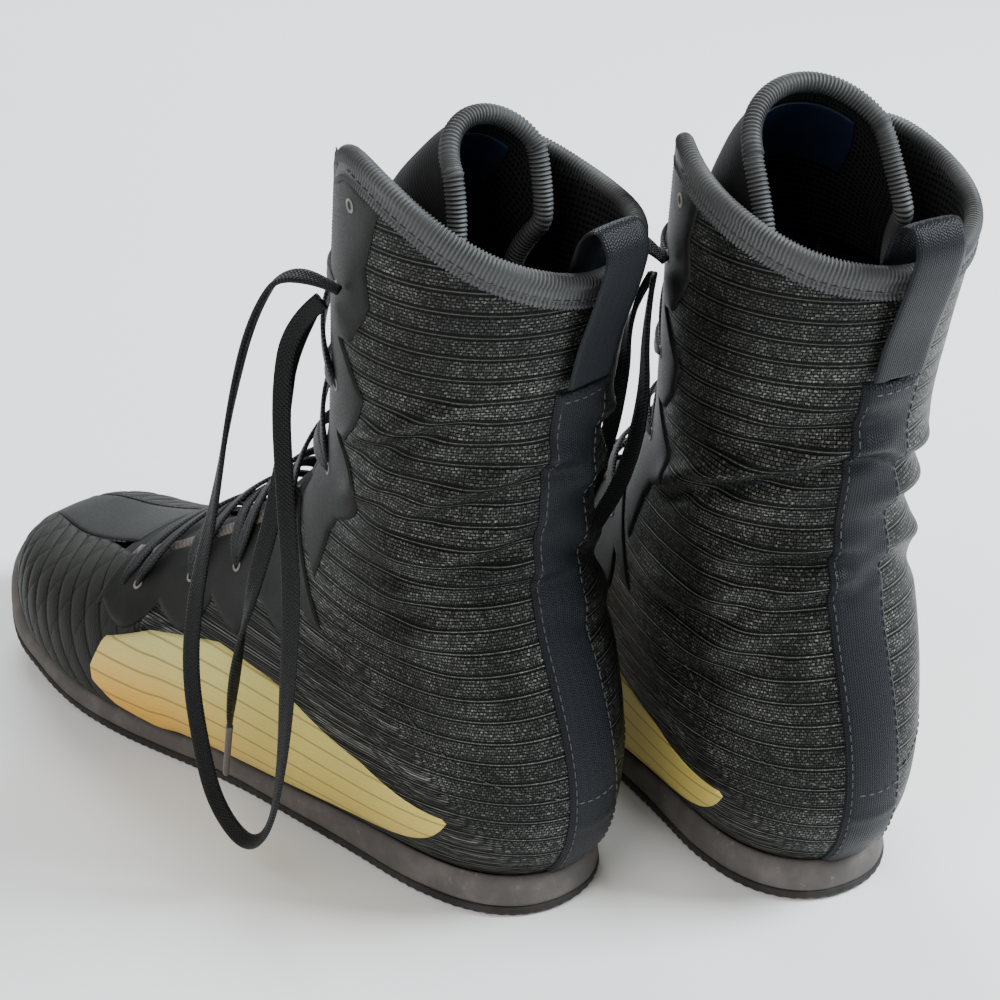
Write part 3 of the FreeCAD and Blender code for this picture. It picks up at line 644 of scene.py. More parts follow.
def satin_label():
    p = Paint("label_satin", 0.4, specular=0.2)
    vector, _, v = p.uv()
    rows = p.wave(v, 0.7)
    cloud = p.noise(vector, 0.12, 3.0)
    color = p.mix(p.math("MULTIPLY", rows, cloud), (0.004, 0.007, 0.017), (0.02, 0.035, 0.075))
    return p.finish(color, rows, 0.3, 0.15)


M = {
    "ripstop": ripstop("ripstop", (0.0022, 0.0027, 0.0023), (0.115, 0.118, 0.104)),
    "quilt": quilt(),
    "film": film(),
    "grosgrain": grosgrain("grosgrain"),
    "strip": grosgrain("throat_strip", (0.15, 0.13, 0.118), (0.05, 0.043, 0.04)),
    "webbing": webbing(),
    "mesh": air_mesh(),
    "knit": knit(),
    "lace": braid(),
    "wall": rubber("wall_rubber", (0.07, 0.063, 0.059), (0.115, 0.103, 0.096)),
    "tread": rubber("tread_rubber", (0.015, 0.0135, 0.013), (0.032, 0.029, 0.027), 0.8),
    "gold": gold(),
    "label": satin_label(),
    "thread": plain("thread", (0.03, 0.03, 0.03), 0.6, 3.0),
    "pale_thread": plain("pale_thread", (0.028, 0.028, 0.03), 0.6, 3.0),
    "aglet": plain("aglet_plastic", (0.075, 0.055, 0.045), 0.3),
    "board": plain("fibre_board", (0.15, 0.12, 0.09), 0.8),
    "foam": plain("midsole_foam", (0.06, 0.055, 0.05), 0.85, 2.5),
    "ring": plain("eyelet_rim", (0.16, 0.15, 0.14), 0.45),
}


# ---------------------------------------------------------------- sole

def floor_line(y):
    y = np.asarray(y, float)
    return (19.0 * np.maximum(0.0, (y - 190.0) / 100.0) ** 1.7
            + 1.2 * np.maximum(0.0, (14.0 - y) / 18.0) ** 2)


def wall_top(y):
    heel = 13.5 - 3.5 * step(y, 40.0, 130.0)
    return heel + 0.93 * floor_line(np.maximum(y, 100.0)) + 8.0 * step(y, 235.0, 285.0)


def bisect(test, low, high):
    low, high = np.array(low, float), np.array(high, float)
    for _ in range(24):
        middle = 0.5 * (low + high)
        over = test(middle)
        high = np.where(over, middle, high)
        low = np.where(over, low, middle)
    return low


def feather(count=720):
    """Plan line round the foot where the upper meets the wall's top, evenly spaced."""
    s = np.linspace(0.35, 8.9, 90)
    sides = []
    for side in (-1, 1):
        def over(a, side=side):
            p = form(s, side * a)
            return p[:, 2] > wall_top(p[:, 1]) + 1.0
        a = bisect(over, np.full(90, 0.2), np.full(90, 1.2))
        sides.append(form(s, side * a))
    turn = np.linspace(-0.39, 0.39, 13)
    climb = bisect(lambda m: form(m, turn)[:, 2] > wall_top(0.0) + 1.0,
                   np.full(13, 8.6), np.full(13, 10.2))
    heel = form(climb, turn)
    toe = form(np.zeros(2), np.array([1.0, -1.0]))
    ring = np.concatenate([heel[6:], sides[1][::-1][5:], toe, sides[0][:-5], heel[:6]])[:, :2]
    ring = np.concatenate([ring, ring[:1]])
    line = smooth_line(ring, count + 1)[:-1]
    kernel = np.hanning(15)
    kernel /= kernel.sum()
    wide = np.concatenate([line[-7:], line, line[:7]])
    return np.stack([np.convolve(wide[:, k], kernel, "valid") for k in range(2)], 1)


FEATHER = feather()


def plan_offset(line, distance):
    along = unit(np.roll(line, -1, 0) - np.roll(line, 1, 0))
    out = np.stack([along[:, 1], -along[:, 0]], 1)
    return line + out * np.asarray(distance).reshape(-1, 1)


def ring_piece(boot, name, sections, mat, uv_v):
    """Closed ring whose sections (list of (count, 3) rings) close on themselves."""
    pts = np.stack(sections, 1)
    rows, k = pts.shape[:2]
    faces = [(i * k + j, ((i + 1) % rows) * k + j, ((i + 1) % rows) * k + (j + 1) % k,
              i * k + (j + 1) % k) for i in range(rows) for j in range(k)]
    run = np.concatenate([[0.0], np.cumsum(np.linalg.norm(np.diff(pts[:, 0], axis=0), axis=1))])
    uv = np.stack(np.meshgrid(uv_v, run), -1).reshape(-1, 2)
    return make(boot, name, pts.reshape(-1, 3), faces, [mat], uv)


def sole_wall(boot):
    y = FEATHER[:, 1]
    foot = floor_line(y) + 3.35
    top = np.maximum(wall_top(y), foot + 3.0)
    wobble = 0.12 * np.sin(np.arange(len(y)) * 0.11) + 0.1 * np.sin(np.arange(len(y)) * 0.043)
    toe = step(y, 235.0, 280.0)
    profile = [(2.3, 0.0), (4.1, 0.0), (4.75, 0.05), (4.95, 0.16), (4.8, 0.24), (4.75, 0.45),
               (4.55, 0.65), (4.15, 0.82), (3.5, 0.95), (2.7, 1.03), (1.9, 1.06), (1.5, 1.0),
               (1.7, 0.8), (2.2, 0.4)]
    sections = []
    for d, f in profile:
        swell = 0.5 * toe * math.sin(math.pi * min(max(f, 0.0), 1.0))
        ring = plan_offset(FEATHER, d + swell + wobble * (d > 2.6))
        z = foot + (top - foot) * f + (wobble if f > 0.9 else 0.0)
        sections.append(np.column_stack([ring, z]))
    return ring_piece(boot, "sole_wall", sections, M["wall"], [p[1] * 10 for p in profile])


def outsole(boot):
    """Thin tread with small teeth round its edge and a shallow chevron pattern below."""
    count = len(FEATHER)
    teeth = 0.28 * (np.arange(count) % 4 < 2)
    sections = []
    for d, z, tooth in ((4.7, 3.35, 0), (5.15, 3.1, 0), (5.35, 2.5, 0), (5.3, 1.4, 1), (4.9, 0.35, 1),
                        (4.0, 0.0, 0), (2.5, 0.0, 0), (1.5, 0.5, 0), (1.5, 2.8, 0), (3.0, 3.35, 0)):
        ring = plan_offset(FEATHER, d - teeth * tooth)
        sections.append(np.column_stack([ring, floor_line(ring[:, 1]) + z]))
    rim = ring_piece(boot, "outsole_rim", sections, M["tread"], range(10))
    half = count // 2
    line = plan_offset(FEATHER, 3.2)
    k = np.arange(6, half - 5, 2)
    u = np.linspace(0, 1, 61)[None, :, None]
    grid = line[k][:, None] + (line[count - k] - line[k])[:, None] * u
    x, yy = grid[..., 0], grid[..., 1]
    edge = np.minimum(step(u[..., 0], 0.0, 0.06), step(1.0 - u[..., 0], 0.0, 0.06))
    chevron = np.abs(((yy + 0.7 * np.abs(x)) / 7.0) % 1.0 - 0.5) * 2.0
    bottom = floor_line(yy) + 1.0 * edge * step(chevron, 0.55, 0.7)
    top = floor_line(yy) + 3.1
    low = np.dstack([grid, bottom])
    high = np.dstack([grid, top])
    uv = run_uv(high)
    if grid[0, 0, 0] > grid[0, -1, 0]:
        low, high, uv = low[:, ::-1], high[:, ::-1], uv[:, ::-1]
    ahead = high[-1, 0, 1] > high[0, 0, 1]
    if ahead:
        plate = shell(boot, "outsole_plate", high, low, [M["tread"]], uv)
    else:
        plate = shell(boot, "outsole_plate", high[::-1], low[::-1], [M["tread"]], uv[::-1])
    return rim, plate


# ---------------------------------------------------------------- upper

def side_place(boot, side, s_first, margin=0.0, drop=0.0):
    def place(u, v):
        s_top = collar_station(boot, side * 1.46 * v, drop)
        s = s_first + (s_top - s_first) * u
        a_low = sole_edge(s) + margin * 0.2
        return s, side * (a_low + (follow(THROAT, s) - margin - a_low) * v)
    return place


def quarter_relief(p, s, a, uv):
    return rib_relief(p)


def print_relief(p, s, a, uv):
    """The print lies over the toe fabric at its front end."""
    return rib_relief(p) + 1.25 * (1.0 - step(s, 5.3, 5.6))


def forefoot_relief(p, s, a, uv):
    """Padded parallelograms between sewn lines that slant down and back."""
    u, v = uv[..., 1], uv[..., 0]
    first = (0.63 * v + 0.78 * u) / 7.6
    second = (0.9 * u - 0.43 * v) / 12.0
    one = 1.0 - np.abs(2.0 * ((first % 1.0) - 0.5)) ** 4
    two = 1.0 - 0.5 * np.abs(2.0 * ((second % 1.0) - 0.5)) ** 6
    calm = step(s, 0.3, 0.9) * (1.0 - step(s, 4.4, 5.1)) * step(np.abs(a), 0.5, 0.8)
    return 0.75 * one * two * calm - 0.25 * calm


def scallop(s):
    """Lower edge of the vamp film: blunt teeth between the lace holes."""
    t = (s - 4.45) % 1.0
    tooth = np.abs(2.0 * t - 1.0)
    return 1.40 - 0.13 * (1.0 - tooth ** 1.6) - 0.05 * step(s, 7.6, 8.8)


REAR_EDGE = [(9.2, 1.34), (10.2, 1.35), (10.6, 1.33), (11.2, 1.22), (11.95, 1.13), (12.1, 1.25),
             (12.2, 1.31), (12.35, 1.22), (12.8, 1.13), (13.25, 1.08), (13.45, 1.20), (13.55, 1.28),
             (13.7, 1.18), (14.1, 1.09), (14.35, 1.05), (14.7, 1.09), (15.1, 1.05), (15.3, 1.02)]


def gold_edges(s):
    low = follow([(4.45, 0.98), (4.8, 0.78), (5.5, 0.62), (7.0, 0.59), (8.2, 0.59), (9.3, 0.62)], s)
    high = follow([(4.45, 1.02), (4.7, 1.22), (5.4, 1.27), (6.6, 1.24), (7.6, 1.12), (8.6, 0.90),
                   (9.3, 0.64)], s)
    return low, high


def upper(boot):
    pieces = []
    for side, word in ((-1, "lateral"), (1, "medial")):
        top = SHELL + GAP
        quarter = panel(boot, "quarter_" + word, side_place(boot, side, 5.19), 0.0, SHELL, 270, 96,
                        [M["ripstop"]], quarter_relief)

        def toe_side(u, v, side=side):
            s = 0.3 + 4.9 * u
            a_high = 1.80 - 0.10 * step(s, 3.4, 4.6)
            return s, side * (0.30 + (a_high - 0.30) * v)
        front = panel(boot, "forefoot_" + word, toe_side, 0.0, SHELL, 120, 84, [M["quilt"]],
                      forefoot_relief, run_uv)

        def vamp(u, v, side=side):
            s = 4.35 + 4.6 * u
            a_low = scallop(s)
            return s, side * (a_low + (follow(THROAT, s) - 0.015 - a_low) * v)
        over = panel(boot, "vamp_overlay_" + word, vamp, SHELL - 0.25, top + FILM, 150, 18,
                     [M["film"]], depth=0.5)

        def stay(u, v, side=side):
            s = 9.2 + (collar_station(boot, side * 1.3, 0.10) - 9.2) * u
            a_low = follow(REAR_EDGE, s)
            return s, side * (a_low + (follow(THROAT, s) - 0.015 - a_low) * v)
        front_edge = panel(boot, "eyestay_" + word, stay, SHELL - 0.25, top + FILM, 240, 18,
                           [M["film"]], depth=0.5)

        def blade(u, v, side=side):
            s = 4.45 + 4.85 * u
            low, high = gold_edges(s)
            return s, side * (low + (high - low) * v)
        mark = panel(boot, "side_print_" + word, blade, SHELL - 0.3, SHELL + 0.32, 130, 40,
                     [M["gold"]], print_relief)

        def strip(u, v, side=side):
            s = 4.35 + 4.4 * u
            edge = follow(THROAT, s)
            return s, side * (edge - 0.035 + 0.085 * v)
        welt = panel(boot, "throat_strip_" + word, strip, SHELL - 0.7, top + FILM + 0.35, 90, 6,
                     [M["strip"]], depth=0.7)
        inside = panel(boot, "lining_" + word, side_place(boot, side, 0.55, 0.03, 0.02), -2.8, -1.5,
                       150, 50, [M["mesh"]], wrinkled=False)
        for piece, node, slot in ((quarter, "quarter_" + word, "ripstop"),
                                  (front, "forefoot_" + word, "ripstop"),
                                  (over, "vamp_overlay_" + word, "smooth_film"),
                                  (front_edge, "eyestay_" + word, "smooth_film"),
                                  (mark, "side_print", "gold_print"),
                                  (welt, None, "grosgrain"),
                                  (inside, "lining_" + word, "mesh_lining")):
            pieces.append((piece, node, slot))

    def toe_top(u, v):
        return 0.3 + 3.85 * u, 1.80 + 0.40 * v
    cap = panel(boot, "toe_panel", toe_top, SHELL - 0.5, SHELL + 0.22, 60, 30, [M["film"]],
                depth=0.6)
    pieces.append((cap, "toe_panel", "smooth_film"))
    return pieces


def throat_tongue(boot):
    """The lower tongue, seen between the edges of the throat."""
    def place(u, v):
        s = 3.95 + 9.95 * u
        half = 0.40 + 0.10 * step(s, 6.0, 12.0)
        return s, 2.0 + half * (2.0 * v - 1.0)

    def pad(p, s, a, uv):
        return 0.7 * np.sin(math.pi * np.clip((a - 1.6) / 0.8, 0, 1)) ** 0.6 + 2.6 * (
            1.0 - step(s, 4.1, 4.9))
    return panel(boot, "tongue_lower", place, -6.0, -2.3, 110, 30, [M["knit"]], pad, run_uv,
                 wrinkled=False)


def sock(boot):
    def place(u, v):
        return 0.75 + 8.1 * u, -0.42 + 0.84 * v
    return panel(boot, "sockliner", place, -6.0, -2.9, 80, 24, [M["mesh"]], None, run_uv,
                 wrinkled=False)


# ---------------------------------------------------------------- bindings and tapes

def resample(points, count):
    """The same line, in evenly spaced points."""
    run = np.concatenate([[0.0], np.cumsum(np.linalg.norm(np.diff(points, axis=0), axis=1))])
    even = np.linspace(0, run[-1], count)
    return np.stack([np.interp(even, run, points[:, k]) for k in range(points.shape[1])], 1)


def soften(points, reach):
    """Rounds the corners of an open line of points."""
    kernel = np.hanning(2 * reach + 1)
    kernel /= kernel.sum()
    wide = np.pad(points, ((reach, reach), (0, 0)), "edge")
    wide[:reach] = 2 * points[0] - points[reach:0:-1]
    wide[-reach:] = 2 * points[-1] - points[-2:-reach - 2:-1]
    return np.stack([np.convolve(wide[:, k], kernel, "valid") for k in range(wide.shape[1])], 1)


def binding_line(boot):
    """The bound edge as (s, a): up one side of the throat, round the collar and down."""
    lines = []
    for side in (-1, 1):
        corner = float(collar_station(boot, side * 1.46))
        s = np.linspace(9.75, corner, 400)
        up = np.stack([s, side * follow(THROAT, s)], 1)
        a = side * np.linspace(1.46, 0.0, 400)
        over = np.stack([collar_station(boot, a), a], 1)
        half = np.concatenate([up[:-1], over])
        lines.append(half if side < 0 else half[::-1][1:])
    line = np.concatenate(lines)
    spaced = np.stack([line[:, 0] * 38.0, line[:, 1] * 30.0], 1)
    spaced = soften(resample(spaced, 1400), 22)
    return spaced[:, 0] / 38.0, spaced[:, 1] / 30.0


def collar_binding(boot):
    """A ribbed padded rim over the collar's and throat's edge, with a flat band beside it."""
    s, a = binding_line(boot)
    base, out = form(s, a), normal(s, a)
    up = unit(np.cross(out, unit(np.gradient(base, axis=0))))
    run = np.concatenate([[0.0], np.cumsum(np.linalg.norm(np.diff(base, axis=0), axis=1))])
    even = np.linspace(0, run[-1], int(run[-1] / 0.21))
    fit = lambda arr: np.stack([np.interp(even, run, arr[:, k]) for k in range(3)], 1)
    base, out, up = fit(base), unit(fit(out)), unit(fit(up))
    side_a = np.interp(even, run, np.abs(a))
    side_s = np.interp(even, run, s)
    throat = step(side_a, 1.30, 1.42) * (1.0 - step(side_s, 15.0, 15.3))
    rib = np.cos(2 * math.pi * even / 1.2)
    angles = np.radians(np.linspace(-30, 212, 15))
    profile = [(1.3, -6.4, 0.0), (2.05, -6.6, 0.12), (2.35, -6.1, 0.2), (2.3, -5.2, 0.16),
               (2.0, -4.9, 0.0), (2.0, -3.6, 0.0), (1.95, -2.5, 0.0), (1.8, -1.9, 0.0)]
    profile += [(-0.45 + 2.5 * math.cos(q), 0.4 + 2.5 * math.sin(q), 0.3) for q in angles]
    profile += [(-2.8, -2.6, 0.1), (-1.35, -2.9, 0.0)]
    rows = []
    for o, h, ribbed in profile:
        h = np.where(h < -1.0, h * (1.0 - 0.45 * throat), h)
        swell = 1.0 + ribbed * rib / 2.6
        thin = 1.0 - 0.18 * throat
        rows.append(base + out * (o * swell * thin)[:, None]
                    + up * ((0.4 + (h - 0.4) * swell) * thin)[:, None])
    pts = np.stack(rows, 1)
    n, k = pts.shape[:2]
    faces = [(i * k + j, (i + 1) * k + j, (i + 1) * k + (j + 1) % k, i * k + (j + 1) % k)
             for i in range(n - 1) for j in range(k)]
    faces += [tuple(range(k)), tuple((n - 1) * k + j for j in range(k))[::-1]]
    rim = np.linspace(0, 26, k)
    uv = np.stack(np.meshgrid(rim, even + 0.3), -1).reshape(-1, 2)
    return make(boot, "collar_binding", pts.reshape(-1, 3), faces, [M["grosgrain"]], uv)


def tape_a(s):
    i = np.minimum(np.asarray(s).astype(int), 15)
    t = np.asarray(s) - i
    width = STATIONS[i, 4] * (1 - t) + STATIONS[i + 1, 4] * t
    low = STATIONS[i, 7] * (1 - t) + STATIONS[i + 1, 7] * t
    return 9.5 / (3.0 * low * width) * 1.12


def centred_uv(p):
    uv = run_uv(p)
    uv[..., 0] -= uv[..., 0].mean()
    return uv


def backstay(boot):
    """Webbing up the back seam, fuller in the middle, with two narrow raised folds across it, one at
    the heel and one higher up.
    """
    def place(u, v):
        s = 9.35 + 4.75 * u
        return s, tape_a(s) * (2.0 * v - 1.0)

    def swell(p, s, a, uv):
        edge = np.abs(uv[..., 0]) / 9.5
        fold = np.exp(-((s - 10.05) / 0.05) ** 2) + np.exp(-((s - 12.0) / 0.07) ** 2)
        return 0.25 * step(edge, 0.99, 0.8) + 0.35 * fold
    return panel(boot, "backstay", place, SHELL - 0.2, SHELL + 1.35, 260, 18, [M["webbing"]],
                 swell, centred_uv, depth=0.7)


LOOP_PATH = [(-2.1, 190.5), (-5.6, 203.0), (-10.2, 215.0), (-14.2, 226.0), (-16.0, 235.0),
             (-12.0, 241.2), (-6.0, 238.0), (-2.6, 229.5), (0.6, 219.0), (3.4, 209.0),
             (5.4, 201.0)]


def pull_loop(boot):
    path = smooth_line([(0.0, y, z) for y, z in LOOP_PATH], 140)
    up = np.broadcast_to(np.array([1.0, 0.0, 0.0]), path.shape)
    tangent = unit(np.gradient(path, axis=0))
    out = unit(np.cross(tangent, up))
    t = np.linspace(0, 1, len(path))
    half = 9.3 - 0.5 * np.exp(-((t - 0.5) / 0.12) ** 2)
    x = np.linspace(-1, 1, 13)
    bow = 0.35 * np.sin(math.pi * t)
    rows = []
    for sign in (1.0, -1.0):
        for f in (x if sign > 0 else x[::-1]):
            thick = 0.62 * (1.0 - 0.85 * abs(f) ** 10)
            rows.append(path + up * (f * half)[:, None]
                        + out * (sign * thick + bow * (f * f - 0.4))[:, None])
    pts = np.stack(rows, 1)
    n, k = pts.shape[:2]
    faces = [(i * k + j, i * k + (j + 1) % k, (i + 1) * k + (j + 1) % k, (i + 1) * k + j)
             for i in range(n - 1) for j in range(k)]
    faces += [tuple(range(k))[::-1], tuple((n - 1) * k + j for j in range(k))]
    run = np.concatenate([[0.0], np.cumsum(np.linalg.norm(np.diff(path, axis=0), axis=1))])
    across = np.concatenate([x, x[::-1]]) * 9.3
    uv = np.stack(np.meshgrid(across, run), -1).reshape(-1, 2)
    return make(boot, "pull_loop", pts.reshape(-1, 3), faces, [M["webbing"]], uv)


def stitch_row(path, outward, length=2.3, gap=1.0, radius=0.27):
    """Thread ends showing along a line: small spindles, as vertices and faces."""
    run = np.concatenate([[0.0], np.cumsum(np.linalg.norm(np.diff(path, axis=0), axis=1))])
    starts = np.arange(0.4, run[-1] - length, length + gap)
    at = lambda r, arr: np.stack([np.interp(r, run, arr[:, k]) for k in range(3)], 1)
    p0, p1, out = at(starts, path), at(starts + length, path), unit(at(starts, outward))
    along = unit(p1 - p0)
    side = unit(np.cross(along, out))
    verts, faces = [], []
    for f, r in ((0.0, 0.35), (0.12, 0.85), (0.5, 1.0), (0.88, 0.85), (1.0, 0.35)):
        centre = p0 + (p1 - p0) * f + out * (0.25 * radius * math.sin(math.pi * f))
        for angle in np.arange(6) * math.pi / 3:
            verts.append(centre + (side * math.cos(angle) + out * math.sin(angle)) * radius * r)
    verts = np.stack(verts, 1)
    for n in range(len(starts)):
        b = n * 30
        for ring in range(4):
            for j in range(6):
                q = (j + 1) % 6
                faces.append((b + ring * 6 + j, b + ring * 6 + 6 + j, b + ring * 6 + 6 + q,
                              b + ring * 6 + q))
        faces.append(tuple(b + j for j in range(6)))
        faces.append(tuple(b + 24 + j for j in range(6))[::-1])
    return verts.reshape(-1, 3), faces


def stitches(boot, name, rows, mat):
    verts, faces, count = [], [], 0
    for path, outward in rows:
        v, f = stitch_row(path, outward)
        verts.append(v)
        faces += [tuple(i + count for i in face) for face in f]
        count += len(v)
    return make(boot, name, np.concatenate(verts), faces, [mat])


def on_skin(boot, s, a, offset):
    return skin(boot, s, a, offset), normal(s, a)


def stitching(boot):
    """Stitch lines on the outside of the upper."""
    tape, body = [], []
    s = np.linspace(9.5, 14.0, 300)
    for side in (-1, 1):
        tape.append(on_skin(boot, s, side * tape_a(s) * 0.83, SHELL + 1.5))
    for station in (10.28, 14.02):
        across = np.linspace(-0.8, 0.8, 40) * tape_a(station)
        tape.append(on_skin(boot, np.full(40, station), across, SHELL + 1.55))
    a = np.linspace(-1.24, 1.24, 400)
    body.append(on_skin(boot, collar_station(boot, a) - 0.095, a, 2.12))
    for side in (-1, 1):
        line = np.linspace(0.2, 0.92, 160)
        height = 10.3 - 0.42 * step(line, 0.2, 0.95)
        body.append(on_skin(boot, height, side * line, SHELL + 0.1))
        s = np.linspace(0.5, 4.0, 200)
        body.append(on_skin(boot, s, side * (1.785 + 0.0 * s), SHELL + 0.1))
    one = stitches(boot, "tape_stitching", tape, M["pale_thread"])
    two = stitches(boot, "body_stitching", body, M["thread"])
    return one, two


# ---------------------------------------------------------------- tongue

TONGUE_BASE = (0.0, 79.0, 219.0)
TONGUES = {"left_": (6.0, 53.0, 255.0, 42.0, 20.5), "right_": (1.0, 56.0, 261.0, 54.0, 28.0)}


def tongue_point(boot, u, v, offset):
    """The free top of the tongue: a channel that leans back, open to the rear."""
    top_x, top_y, top_z, half, radius = TONGUES[boot]
    u, v = np.broadcast_arrays(np.asarray(u, float), np.asarray(v, float))
    radius = radius * (1.0 - 0.15 * u)
    base = np.array(TONGUE_BASE)
    top = np.array([top_x, top_y, top_z])
    knee = np.array([0.35 * top_x, 0.5 * (base[1] + top_y) + 6.0, 0.5 * (base[2] + top_z) + 2.0])
    w = (1.0 - u)[..., None]
    t = u[..., None]
    middle = base * (w * w) + knee * (2.0 * t * w) + top * (t * t)
    along = unit((knee - base) * w + (top - knee) * t)
    width = half * (1.0 - 0.42 * step(u, 0.62, 1.35))
    angle = np.clip(v * width / radius, -0.5 * math.pi, 0.5 * math.pi)
    leg = np.maximum(0.0, np.abs(v) * width - 0.5 * math.pi * radius)
    back = unit(np.cross(np.array([1.0, 0.0, 0.0]), along))
    reach = radius + offset
    shift = (radius - reach * np.cos(angle) + leg)[..., None] * back
    return middle + shift + np.stack([reach * np.sin(angle), 0 * angle, 0 * angle], -1)


def tongue_top(boot):
    """Padded free end of the tongue, fuller in the middle than at its bound edge."""
    rows, cols = 70, 70
    u, v = np.meshgrid(np.linspace(-0.25, 1.02, rows), np.linspace(-1.02, 1.02, cols),
                       indexing="ij")
    shrink = np.sqrt(np.clip(1.0 - np.clip((u - 0.82) / 0.35, 0, 1) ** 2, 0.2, 1))
    v = v * shrink
    edge = np.minimum(step(1.05 - np.abs(v) / shrink, 0.0, 0.45), step(1.08 - u, 0.0, 0.4))
    dimple = 0.25 * np.sin(v * 9.0) * np.sin(u * 11.0)
    out = tongue_point(boot, u, v, 1.5 + 0.9 * edge + dimple * edge)
    back = tongue_point(boot, u, v, -1.5 - 0.9 * edge)
    return shell(boot, "tongue_upper", out, back, [M["knit"], M["mesh"]], run_uv(out), 1)


def tongue_edge(boot):
    """Fat ribbed binding round the free edge."""
    corner = []
    for t in np.linspace(0, math.pi / 2, 14):
        corner.append((1.04 - 0.34 + 0.34 * math.sin(t), 1.05 - 0.34 + 0.34 * math.cos(t)))
    right = [(-0.2, 1.05), (0.1, 1.05), (0.4, 1.05)] + corner
    outline = right + [(u, -v) for u, v in right[::-1]]
    line = smooth_line(outline, 900)
    shrink = np.sqrt(np.clip(1.0 - np.clip((line[:, 0] - 0.82) / 0.35, 0, 1) ** 2, 0.2, 1))
    path = tongue_point(boot, line[:, 0], line[:, 1], 0.0)
    ahead = tongue_point(boot, line[:, 0], line[:, 1], 1.0)
    path = smooth_line(path, 1100)
    ahead = smooth_line(ahead, 1100)
    run = np.concatenate([[0.0], np.cumsum(np.linalg.norm(np.diff(path, axis=0), axis=1))])
    rib = 1.0 + 0.075 * np.cos(2 * math.pi * run / 1.3)
    t = np.arange(14) * 2 * math.pi / 14
    circle = np.stack([3.1 * np.cos(t), 2.9 * np.sin(t)], 1)
    return sweep(boot, "tongue_binding", path, unit(ahead - path),
                 circle[None] * rib[:, None, None], [M["grosgrain"]])


def tongue_label(boot):
    u, v = np.meshgrid(np.linspace(0.36, 0.9, 24), np.linspace(-0.55, 0.55, 30), indexing="ij")
    front = tongue_point(boot, u, v, -2.25)
    back = tongue_point(boot, u, v, -2.75)
    return shell(boot, "tongue_label", front, back, [M["label"]], run_uv(front))


# ---------------------------------------------------------------- laces

def lace_outline(half, thick):
    """Flat braid's section: two soft lobes and a shallow middle."""
    t = np.linspace(0, 2 * math.pi, 17)[:-1]
    x = half * np.sign(np.cos(t)) * np.abs(np.cos(t)) ** 0.8
    y = 0.5 * thick * np.sign(np.sin(t)) * np.abs(np.sin(t)) ** 0.55
    y = y * (1.0 - 0.22 * np.exp(-(x / (0.25 * half)) ** 2))
    return np.stack([x, y], 1)


def lace_uv_mesh(boot, name, path, out, half, thick, mat):
    """A flat lace along a path, its face turned to out; half and thick per point."""
    tangent = unit(np.gradient(path, axis=0))
    side = unit(np.cross(tangent, out))
    rise = unit(np.cross(side, tangent))
    outline = lace_outline(1.0, 2.0)
    half = np.broadcast_to(half, len(path))
    thick = np.broadcast_to(thick, len(path))
    pts = (path[:, None] + side[:, None] * (outline[None, :, :1] * half[:, None, None])
           + rise[:, None] * (outline[None, :, 1:] * 0.5 * thick[:, None, None]))
    n, k = pts.shape[:2]
    faces = [(i * k + j, (i + 1) * k + j, (i + 1) * k + (j + 1) % k, i * k + (j + 1) % k)
             for i in range(n - 1) for j in range(k)]
    faces += [tuple(range(k)), tuple((n - 1) * k + j for j in range(k))[::-1]]
    run = np.concatenate([[0.0], np.cumsum(np.linalg.norm(np.diff(path, axis=0), axis=1))])
    uv = np.stack(np.meshgrid(outline[:, 0] * 3.4, run), -1).reshape(-1, 2)
    return pts.reshape(-1, 3), faces, uv


def merge(boot, name, parts, mats):
    verts, faces, uvs, count = [], [], [], 0
    for v, f, uv in parts:
        verts.append(v)
        faces += [tuple(i + count for i in face) for face in f]
        uvs.append(uv)
        count += len(v)
    return make(boot, name, np.concatenate(verts), faces, mats, np.concatenate(uvs))


def lace_run(boot, start, end, height, lean):
    """One crossing of the throat: up out of one hole and down into the other."""
    t = np.linspace(0, 1, 70)
    s = start[0] + (end[0] - start[0]) * t
    a = start[1] + (end[1] - start[1]) * t
    hump = np.clip(np.sin(math.pi * t), 0, 1) ** 0.45
    base, out = form(s, a), normal(s, a)
    path = base + out * (0.9 + (height - 0.9) * hump)[:, None]
    path = path + 0.5 * np.sin(t * 2 * math.pi + lean)[:, None] * out
    ends = np.minimum(step(t, 0.0, 0.12), step(1.0 - t, 0.0, 0.12))
    return lace_uv_mesh(boot, "", path, out, 1.5 + 1.9 * ends, 2.2 - 0.6 * ends, M["lace"])


def lacing(boot):
    first, second = 3.4, 5.0
    runs = [lace_run(boot, (4.66, 1.50), (4.66, 2.50), first, 0.4)]
    for k, ((s0, a0), (s1, a1)) in enumerate(zip(EYELETS, EYELETS[1:])):
        runs.append(lace_run(boot, (s0, a0), (s1, 4.0 - a1), first, k))
        runs.append(lace_run(boot, (s0, 4.0 - a0), (s1, a1), second, k + 1.5))
    return merge(boot, "lacing", runs, [M["lace"]])


